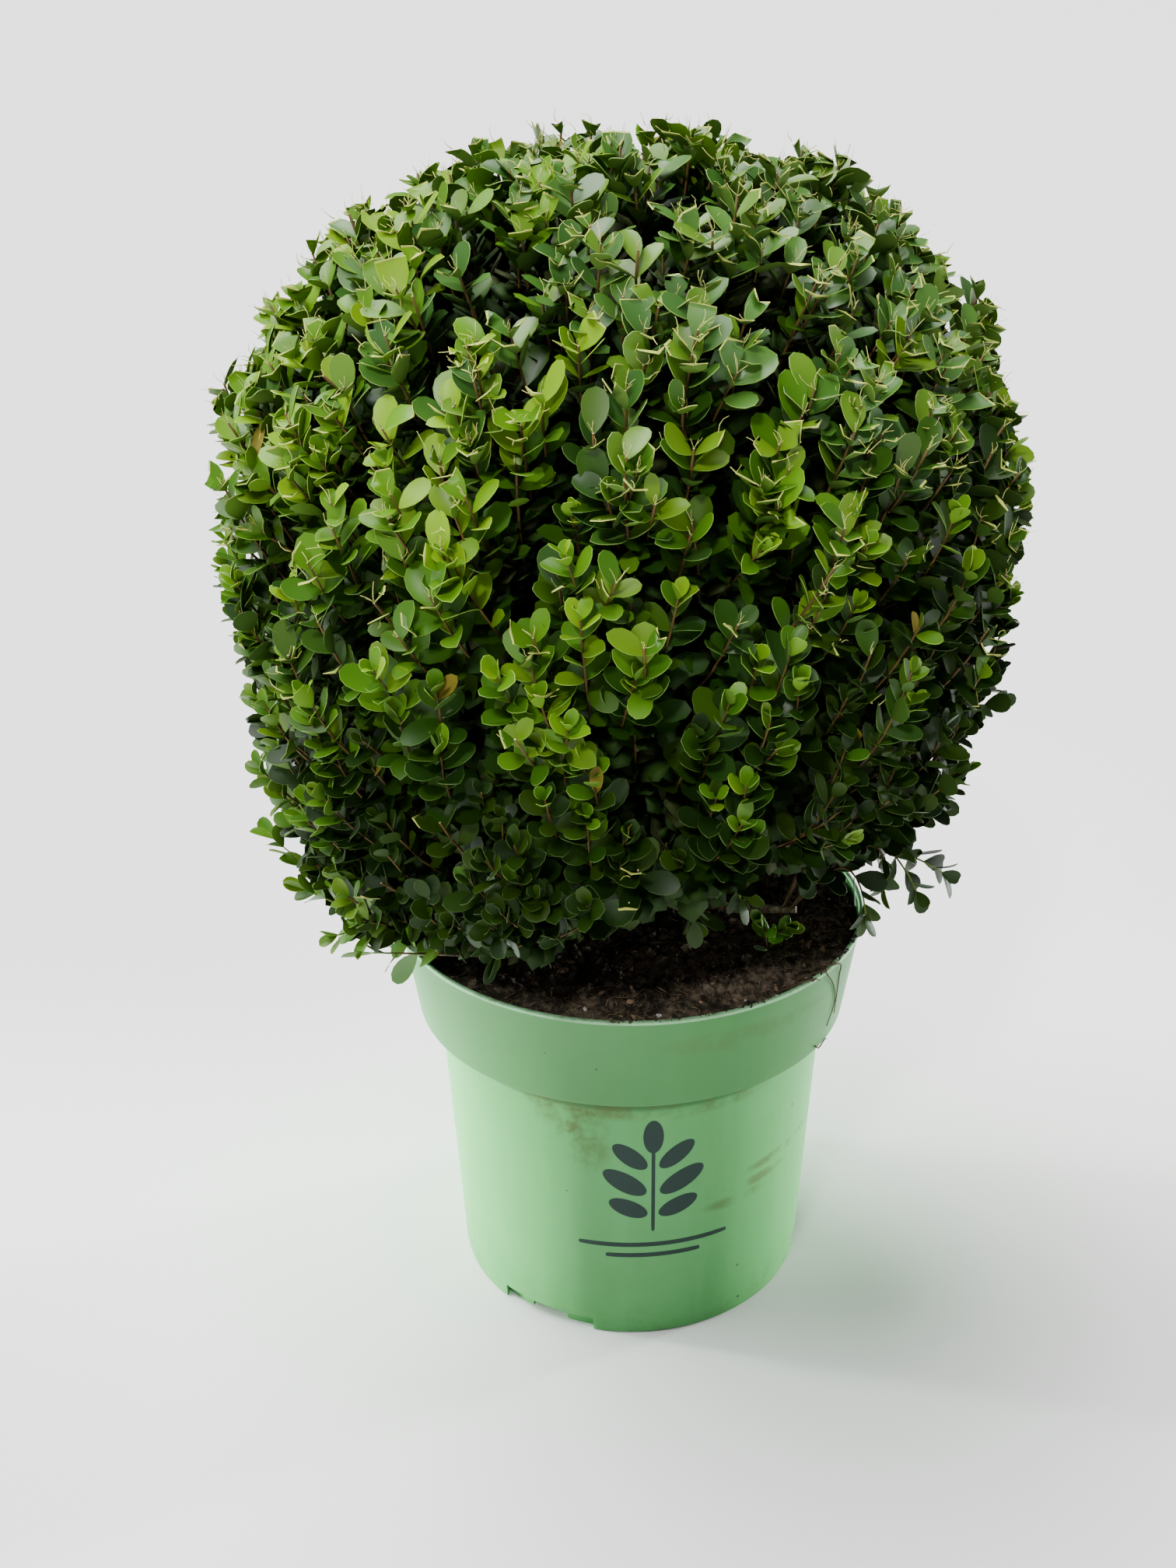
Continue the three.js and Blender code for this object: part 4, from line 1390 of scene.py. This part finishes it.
def makeLeafPieces(fine, plain):
    random = np.random.default_rng(77)
    for g, group in enumerate(leafGroups):
        rows = fine[fine[:, groupAt] == g]
        parts = max(1, math.ceil(len(rows) / blade["mostInMesh"]))
        for p in range(parts):
            bladePiece(f"leaves{group}{p + 1}", rows[p::parts], group, "foliage_ball", random)
        print("leaves", group, len(rows))
    for g, group in enumerate(leafGroups):
        rows = plain[plain[:, groupAt] == g]
        if len(rows) > 0:
            lensPiece("shadeLeaves" + group, rows, group, random)
            print("shade leaves", group, len(rows))


# painted shade: the inner leaves' near-black greens
innerTones = [(0.010, 0.032, 0.002), (0.014, 0.042, 0.002), (0.020, 0.030, 0.004)]


# the deepest leaves are plain bipyramids
def makeInnerLeaves(table):
    turns = 2 * np.pi * np.arange(5) / 5 + np.pi
    along = np.clip((1 + np.cos(turns)) / 2, 0, 1) ** 0.7
    shape = np.column_stack([along, np.sin(turns) / 2, np.zeros(5)])
    shape = np.vstack([shape, [0.55, 0, 0.5], [0.55, 0, -0.5]])
    faces = []
    for k in range(5):
        faces += [(k, (k + 1) % 5, 5), ((k + 1) % 5, k, 6)]
    length, thick = table[:, lengthAt], np.full(len(table), 0.5 * mm)
    size = np.column_stack([length, length * table[:, widthAt], thick])
    places = onLeaves(table, shape[None] * size[:, None])
    finishes = [leafFinish(f"innerLeaf{k}", colour, 0.7) for k, colour in enumerate(innerTones)]
    slots = np.repeat(table[:, shadeAt].astype(int), len(faces))
    piece = joinedMesh("leavesInner", places, np.array(faces), finishes, slots)
    finishPiece(piece, "foliage_ball")
    print("inner leaves", len(table))


controls, clipped, fineLeaves, plainLeaves, innerLeaves = growLeaves()
makeLeafPieces(fineLeaves.table(), plainLeaves.table())


# limbs: the stem and its boughs, with bark
limb = {
    "foot": 235.3 * mm,
    "stemHeight": 50 * mm,
    "stemTop": 10 * mm,
    "stemFlare": 16 * mm,
    "flareHeight": 9 * mm,
    "stemRings": 25,
    "stemSides": 40,
    "lean": 2.5 * mm,
    "boughs": 6,
    "boughFoot": 5.4 * mm,
    "boughTip": 3.2 * mm,
    "boughSteps": 40,
    "boughSides": 18,
    "lowFoot": 3.6 * mm,
    "lowTip": 2.2 * mm,
    "barkDepth": 0.5 * mm,
    "barkColours": ((0.05, 0.032, 0.018), (0.09, 0.07, 0.032)),
    "ridgeColour": (0.22, 0.17, 0.105),
}
# the open room inside the ball, which narrows upward
hollow = {"foot": 286 * mm, "radius": 104 * mm, "roof": 405 * mm, "roofRadius": 44 * mm}
stemTop = limb["foot"] + limb["stemHeight"]


def polar(radius, angle, z):
    return (radius * math.cos(angle), radius * math.sin(angle), z)


def boughRoutes():
    routes = []
    slope = (hollow["radius"] - hollow["roofRadius"]) / (hollow["roof"] - hollow["foot"])
    for i in range(limb["boughs"]):
        angle = ((i + 0.35) / limb["boughs"]) * 2 * math.pi
        fork = stemTop - (22 * mm if i % 2 else 8 * mm)
        tipHeight = 362 * mm + (i % 3) * 7 * mm
        tipRadius = hollow["radius"] - (tipHeight - hollow["foot"]) * slope - 12 * mm
        points = [
            polar(2 * mm, angle, fork - 4 * mm),
            polar(20 * mm, angle + 0.05, fork + 12 * mm),
            polar(tipRadius * 0.72, angle + 0.14, (fork + tipHeight) / 2 + 4 * mm),
            polar(tipRadius, angle + 0.1, tipHeight),
        ]
        routes.append((f"bough_{i + 1}", points, limb["boughFoot"], limb["boughTip"]))
    lean = limb["lean"]
    leader = [
        (lean, -lean / 2, stemTop - 4 * mm),
        (4 * mm, 3 * mm, stemTop + 30 * mm),
        (-3 * mm, -2 * mm, stemTop + 75 * mm),
        (crown["shiftX"], 0, hollow["roof"] - 14 * mm),
    ]
    routes.append(("leader", leader, limb["boughFoot"] + 0.4 * mm, limb["boughTip"]))
    for name, side, degrees, reach in (
        ("bough_low_left", -1, 201, 122 * mm),
        ("bough_low_right", 1, 338, 104 * mm),
    ):
        turn = math.radians(degrees)
        points = [
            polar(2 * mm, turn, soil["top"] + 9 * mm),
            polar(26 * mm, turn + side * 0.06, soil["top"] + 13 * mm),
            polar(reach * 0.62, turn - side * 0.04, soil["top"] + 14 * mm),
            polar(reach, turn, soil["top"] + 20 * mm),
        ]
        routes.append((name, points, limb["lowFoot"], limb["lowTip"]))
    return routes


def barkFinish():
    finish = Finish("boxBark", (0.16, 0.12, 0.075), 0.85)
    ridges = finish.noise(330, 5, 0.65, (1, 1, 0.22))
    patches = finish.noise(70, 3, 0.5)
    dark = finish.mixed(finish.ramp(patches, 0.4, 0.65), *limb["barkColours"])
    finish.set("Base Color", finish.mixed(finish.ramp(ridges, 0.42, 0.62), dark, limb["ridgeColour"]))
    finish.bump(ridges, 0.7, 0.8 * mm)
    return finish.material


def roughen(piece, depth):
    places = meshPlaces(piece)
    normals = np.empty(places.size)
    piece.data.vertex_normals.foreach_get("vector", normals)
    x, y, z = places.T
    ridge = np.sin(x * 1500 + 2 * np.sin(z * 210)) * np.sin(y * 1400 + 1.5 * np.sin(z * 170 + 1))
    lump = np.sin(x * 420 + z * 160) * np.cos(y * 380 - z * 140)
    places += normals.reshape(-1, 3) * (depth * (0.6 * ridge + 0.5 * lump))[:, None]
    places[:, 2] = np.maximum(places[:, 2], limb["foot"] - 0.3 * mm)
    setMeshPlaces(piece, places)


# a Catmull-Rom curve through the points
def smoothRoute(points, steps):
    p = np.array([2 * np.array(points[0]) - points[1], *points, 2 * np.array(points[-1]) - points[-2]])
    out = []
    spans = len(points) - 1
    for s in np.linspace(0, spans, steps):
        k = min(int(s), spans - 1)
        t = s - k
        a, b, c, d = p[k:k + 4]
        square = 2 * a - 5 * b + 4 * c - d
        cube = 3 * b - a - 3 * c + d
        out.append(0.5 * (2 * b + (c - a) * t + square * t ** 2 + cube * t ** 3))
    return np.array(out)


def makeStem(bark):
    rise, last = limb["stemHeight"], limb["stemRings"]
    rings = []
    for k in range(last + 1):
        share = k / last
        flare = (limb["stemFlare"] - limb["stemTop"]) * math.exp(-share * rise / limb["flareHeight"])
        rings.append((limb["stemTop"] + flare, limb["foot"] + share * rise))
    rings.append((limb["stemTop"] * 0.6, stemTop + 2.5 * mm))
    stem = extrudedRings("stemBark", rings, limb["stemSides"])
    for v in stem.data.vertices:
        share = (v.co.z - limb["foot"]) / rise
        turn = math.atan2(v.co.y, v.co.x)
        flute = 1 + 0.10 * math.sin(3 * turn + 0.5) * math.exp(-share * 4)
        flute += 0.04 * math.sin(2 * turn + share * 5)
        v.co.x = v.co.x * flute + limb["lean"] * share
        v.co.y = v.co.y * flute - limb["lean"] / 2 * share
    roughen(stem, limb["barkDepth"])
    bpy.ops.object.shade_smooth()
    stem.data.materials.append(bark)
    finishPiece(stem, "stem")


def makeBoughs(bark):
    steps = limb["boughSteps"]
    for name, points, thick, thin in boughRoutes():
        path = smoothRoute(points, steps)
        radii = np.linspace(thick, thin, steps)
        places, faces, _ = tubeArrays(path[None], radii[None], limb["boughSides"])
        piece = joinedMesh(name.replace("_", "") + "Bark", places, faces, [bark])
        roughen(piece, limb["barkDepth"] * 0.7)
        finishPiece(piece, name)


barkMaterial = barkFinish()
makeStem(barkMaterial)
makeBoughs(barkMaterial)
print("limbs made")


# fine roots over the rim: degrees about the axis, height and distance off the wall in mm
rimRoots = [
    [(-39, 236, -16), (-37, 241, -6), (-35.5, 243.2, 0.4), (-32, 239, 1.5), (-30, 229, 0.5),
     (-28.4, 213, 0.4), (-27, 198, 0.4)],
    [(-45, 236, -12), (-41, 242, -4), (-39.5, 243.4, 0.4), (-38, 239, 1.5), (-33, 226, 0.7),
     (-29, 209, 0.5), (-31, 194, 0.5)],
    [(-52, 237, -9), (-47, 242.6, -2), (-44, 243.2, 0.6), (-41.5, 240, 1.6)],
    [(-36, 186, 0.6), (-33, 181, 0.4), (-30, 183, 0.4), (-28, 180.6, 0.3)],
]
rimRoot = {"steps": 36, "sides": 5, "radii": (0.55 * mm, 0.28 * mm), "colour": (0.060, 0.038, 0.020)}


# one row of radii, first to last, for each of so many paths
def taperedRadii(first, last, steps, count):
    return np.linspace(first, last, steps)[None] * np.ones((count, 1))


def makeRimRoots():
    paths = []
    for route in rimRoots:
        turn, height, off = np.array(route, float).T
        turn, height = np.radians(turn), height * mm
        radius = bandRadius(height) + off * mm
        points = np.column_stack([radius * np.cos(turn), radius * np.sin(turn), height])
        paths.append(smoothRoute(points, rimRoot["steps"]))
    radii = taperedRadii(*rimRoot["radii"], rimRoot["steps"], len(paths))
    places, faces, _ = tubeArrays(np.array(paths), radii, rimRoot["sides"])
    wood = leafFinish("rimRoot", rimRoot["colour"], 0.8)
    finishPiece(joinedMesh("rimRoots", places, faces, [wood]), "soil")


makeRimRoots()
print("roots over the rim made")


# twigs: bough tips to branches, branches to shoots
twig = {
    "branches": 64,
    "depth": 100 * mm,  # of a branch's end inside the ball
    "branchRadii": (3.0 * mm, 1.5 * mm),
    "branchSides": 7,
    "lowest": 0.31,
    "linkRadii": (1.3 * mm, 1.0 * mm),
    "linkSides": 3,
    "stemSides": 4,
    "stemTaper": (1.15, 0.62),
    "leafLength": (20, 30),  # mm, of old leaves inside the ball, painted dark as shade
    "leafWidth": 0.72,
    "leavesFrom": 0.30,
    "leavesOnLink": 2,
    "leavesOnBranch": 30,
}
woodFinishes = [
    leafFinish("stemBrown", (0.050, 0.032, 0.013), 0.6),
    leafFinish("stemOrange", (0.095, 0.057, 0.015), 0.55),
    leafFinish("stemGreen", (0.095, 0.135, 0.011), 0.55),
    leafFinish("cutWood", (0.60, 0.56, 0.34), 0.7),
]


# stems brown at the foot and green at the tip, and those in cut end in pale wood
def stemPiece(name, paths, radii, cut, node):
    places, faces, band = tubeArrays(paths, radii, twig["stemSides"])
    steps = paths.shape[1]
    tones = np.clip(band * 3 // (steps + 1), 0, 2)
    slots = np.broadcast_to(tones, (len(paths), len(faces))).copy()
    slots[:, band == -1] = 0
    slots[np.ix_(cut, band == steps)] = 3
    finishPiece(joinedMesh(name, places, faces, woodFinishes, slots), node)


def nearest(places, points):
    return places[np.linalg.norm(points[:, None] - places[None], axis=2).argmin(1)]


def branchRoutes():
    random = np.random.default_rng(11)
    tips = np.array([route[1][-1] for route in boughRoutes() if "low" not in route[0]])
    ends, normals = surfacePoints(twig["branches"], random, 0.4)
    ends = ends - normals * twig["depth"] * random.uniform(0.85, 1.1, (len(ends), 1))
    ends[:, 2] = np.maximum(ends[:, 2], twig["lowest"])
    begin = nearest(tips, ends)
    bend = (begin + ends) / 2 + random.normal(0, 9 * mm, ends.shape) + up * 6 * mm
    branches = curvedPath(np.stack([begin, bend, ends], axis=1), 10)
    # each shoot's foot joins the nearest point of a branch
    roots = controls[:, 0]
    near = nearest(branches[:, 3:].reshape(-1, 3), roots)
    bend = (near + roots) / 2 + unit(near - roots) * 4 * mm + random.normal(0, 3 * mm, roots.shape)
    return branches, curvedPath(np.stack([near, bend, roots], axis=1), 5)


# old leaves stay on the twigs inside the ball, painted dark as shade
def growTwigLeaves(paths, perPath):
    random = np.random.default_rng(29)
    for path in np.repeat(paths, perPath, axis=0):
        share = random.uniform(0.1, 1) * (len(path) - 1)
        k = min(int(share), len(path) - 2)
        root = path[k] + (path[k + 1] - path[k]) * (share - k)
        out = unit(random.normal(size=3) + up * 0.3)
        face = unit(np.cross(out, random.normal(size=3)))
        if root[2] < twig["leavesFrom"]:
            continue
        length = random.uniform(*twig["leafLength"]) * mm
        innerLeaves.add(root, out, face, length, twig["leafWidth"], 1, random.integers(0, 3), deepGreen)


def makeTwigs():
    branches, links = branchRoutes()
    growTwigLeaves(links, twig["leavesOnLink"])
    growTwigLeaves(branches, twig["leavesOnBranch"])
    woody = leafFinish("twigBark", (0.085, 0.055, 0.03), 0.8)
    for name, paths, ends, sides in (
        ("branches", branches, twig["branchRadii"], twig["branchSides"]),
        ("twigs", links, twig["linkRadii"], twig["linkSides"]),
    ):
        radii = taperedRadii(*ends, paths.shape[1], len(paths))
        places, faces, _ = tubeArrays(paths, radii, sides)
        finishPiece(joinedMesh(name, places, faces, [woody]), "foliage_ball")
    steps = shoot["steps"]
    taper = np.linspace(*twig["stemTaper"], steps)[None] * shoot["stemRadius"]
    taper = np.where(clipped[:, None], taper * 1.15, taper)
    stemPiece("shootStems", curvedPath(controls, steps), taper, clipped, "foliage_ball")


makeTwigs()
makeInnerLeaves(innerLeaves.table())
print("twigs made")


# loose sprays below the ball and the young shoot in the soil
# each twig: three points of its curve, leaf length, share of leaves kept
looseTwigs = {
    "low_spray_left": [
        ((-0.085, -0.075, 0.262), (-0.150, -0.085, 0.272), (-0.2035, -0.055, 0.313), 0.016, 0.8),
        ((-0.085, -0.085, 0.262), (-0.140, -0.100, 0.280), (-0.176, -0.098, 0.300), 0.015, 0.8),
        ((-0.085, -0.095, 0.260), (-0.135, -0.110, 0.287), (-0.157, -0.120, 0.284), 0.016, 0.85),
        ((-0.070, -0.095, 0.256), (-0.105, -0.112, 0.268), (-0.139, -0.118, 0.272), 0.019, 0.8),
        ((-0.085, -0.060, 0.262), (-0.150, -0.050, 0.300), (-0.190, -0.030, 0.330), 0.016, 0.8),
        ((-0.085, -0.090, 0.262), (-0.120, -0.100, 0.300), (-0.150, -0.115, 0.318), 0.017, 0.8),
    ],
    "low_spray_right": [
        ((0.094, -0.038, 0.256), (0.115, -0.055, 0.330), (0.176, -0.060, 0.290), 0.017, 0.75),
        ((0.094, -0.038, 0.256), (0.130, -0.050, 0.345), (0.160, -0.072, 0.284), 0.018, 0.7),
        ((0.094, -0.038, 0.256), (0.145, -0.075, 0.350), (0.139, -0.082, 0.288), 0.016, 0.6),
        ((0.094, -0.038, 0.256), (0.122, -0.085, 0.334), (0.1275, -0.102, 0.286), 0.018, 0.75),
        ((0.094, -0.038, 0.256), (0.135, -0.040, 0.345), (0.178, -0.030, 0.318), 0.017, 0.75),
        ((0.094, -0.038, 0.256), (0.140, -0.030, 0.360), (0.165, -0.022, 0.345), 0.016, 0.75),
        ((0.090, -0.036, 0.256), (0.110, -0.070, 0.335), (0.120, -0.095, 0.330), 0.016, 0.85),
        ((0.090, -0.036, 0.256), (0.100, -0.080, 0.330), (0.098, -0.105, 0.322), 0.016, 0.85),
    ],
    "foliage_ball": [
        ((0.150, -0.020, 0.340), (0.187, -0.030, 0.372), (0.203, -0.020, 0.395), 0.017, 0.9),
        ((0.150, -0.020, 0.340), (0.185, -0.035, 0.385), (0.203, -0.030, 0.380), 0.018, 0.9),
        ((-0.058, -0.090, 0.320), (-0.070, -0.128, 0.312), (-0.071, -0.129, 0.277), 0.020, 0.9),
        ((-0.070, -0.085, 0.320), (-0.092, -0.122, 0.320), (-0.096, -0.124, 0.288), 0.021, 0.85),
        ((-0.085, -0.080, 0.320), (-0.112, -0.112, 0.326), (-0.114, -0.118, 0.298), 0.020, 0.85),
        ((-0.030, -0.095, 0.325), (-0.040, -0.135, 0.325), (-0.040, -0.134, 0.300), 0.021, 0.9),
        ((0.026, -0.085, 0.325), (0.032, -0.116, 0.318), (0.034, -0.114, 0.289), 0.021, 0.9),
        ((0.046, -0.080, 0.330), (0.056, -0.108, 0.328), (0.059, -0.104, 0.297), 0.020, 0.85),
    ],
    "basal_shoot": [
        ((0.080, -0.050, 0.233), (0.080, -0.052, 0.245), (0.074, -0.060, 0.258), 0.013, 1.0),
        ((0.080, -0.050, 0.238), (0.084, -0.050, 0.246), (0.090, -0.058, 0.254), 0.012, 1.0),
    ],
}
# the sprays at the lower right and under the ball take the Shade group, as painted shade
looseGroup = {
    "low_spray_left": "Mid",
    "low_spray_right": "Shade",
    "foliage_ball": "Shade",
    "basal_shoot": "Mid",
}
loose = {
    "steps": 12,
    "toward": (0.0, -0.8, 0.7),  # the light, which leaves turn to
    "bareShare": 0.42,  # of a twig, from its foot
    "width": (0.52, 0.66),
    "radii": (1.3, 0.5),
}


def makeLooseSprays():
    random = np.random.default_rng(19)
    toward = np.array(loose["toward"])
    for node, twigs in looseTwigs.items():
        leaves = LeafList()
        paths = curvedPath(np.array([row[:3] for row in twigs]), loose["steps"])
        for path, (*_, size, kept) in zip(paths, twigs):
            bareLength = loose["bareShare"] * np.linalg.norm(path[0] - path[-1])
            for root, out, face, young in leafPairs(path, size * 0.62, 1.0 * mm, False, toward, random):
                bare = np.linalg.norm(path[0] - root) < bareLength and node != "basal_shoot"
                if bare or random.random() > kept:
                    continue
                length = size * (1 - 0.2 * young) * random.uniform(0.8, 1.15)
                width = random.uniform(*loose["width"])
                leaves.add(root, out, face, length, width, 1, random.integers(0, 4), deepGreen)
        name = node.title().replace("_", "")
        bladePiece("leaves" + name, leaves.table(), looseGroup[node], node, random)
        taper = taperedRadii(*loose["radii"], loose["steps"], len(twigs)) * 0.9 * mm
        stemPiece("stems" + name, paths, taper, np.zeros(len(twigs), bool), node)


makeLooseSprays()
print("loose sprays made")


# pale fibres and threads that the shears left at the cut tips
wisp = {
    "perTip": 3,
    "from": 460 * mm,  # cut shoots lower than this have none
    "tornShare": 0.7,
    "length": (3 * mm, 10 * mm),
    "sway": 0.2,  # of its length
    "radius": 0.17 * mm,
    "colour": (0.50, 0.53, 0.15),
}


def makeWisps(table):
    random = np.random.default_rng(23)
    torn = table[table[:, cutAt] < 0.99]
    torn = torn[random.random(len(torn)) < wisp["tornShare"]]
    starts = torn[:, 0:3] + torn[:, 3:6] * (torn[:, lengthAt] * torn[:, cutAt] * 0.96)[:, None]
    high = clipped & (controls[:, 2, 2] > wisp["from"])
    cutShoots = np.repeat(controls[high], wisp["perTip"], axis=0)
    starts = np.vstack([starts, cutShoots[:, 2]])
    aims = np.vstack([torn[:, 3:6], unit(cutShoots[:, 2] - cutShoots[:, 1])])
    count = len(starts)
    aims = unit(aims + random.normal(0, 0.45, (count, 3)) + up * 0.2)
    length = random.uniform(*wisp["length"], count)[:, None]
    sway = random.normal(0, wisp["sway"], (count, 3)) * length
    ends = np.clip(starts + aims * length, *tipLimits)
    paths = curvedPath(np.stack([starts, (starts + ends) / 2 + sway, ends], axis=1), 4)
    radii = np.linspace(1.2, 0.5, 4)[None] * wisp["radius"] * random.uniform(0.7, 1.6, (count, 1))
    places, faces, _ = tubeArrays(paths, radii, 3)
    pale = leafFinish("shearedFibre", wisp["colour"], 0.75)
    finishPiece(joinedMesh("shearedFibres", places, faces, [pale]), "foliage_ball")
    print("sheared fibres", count)


makeWisps(fineLeaves.table())
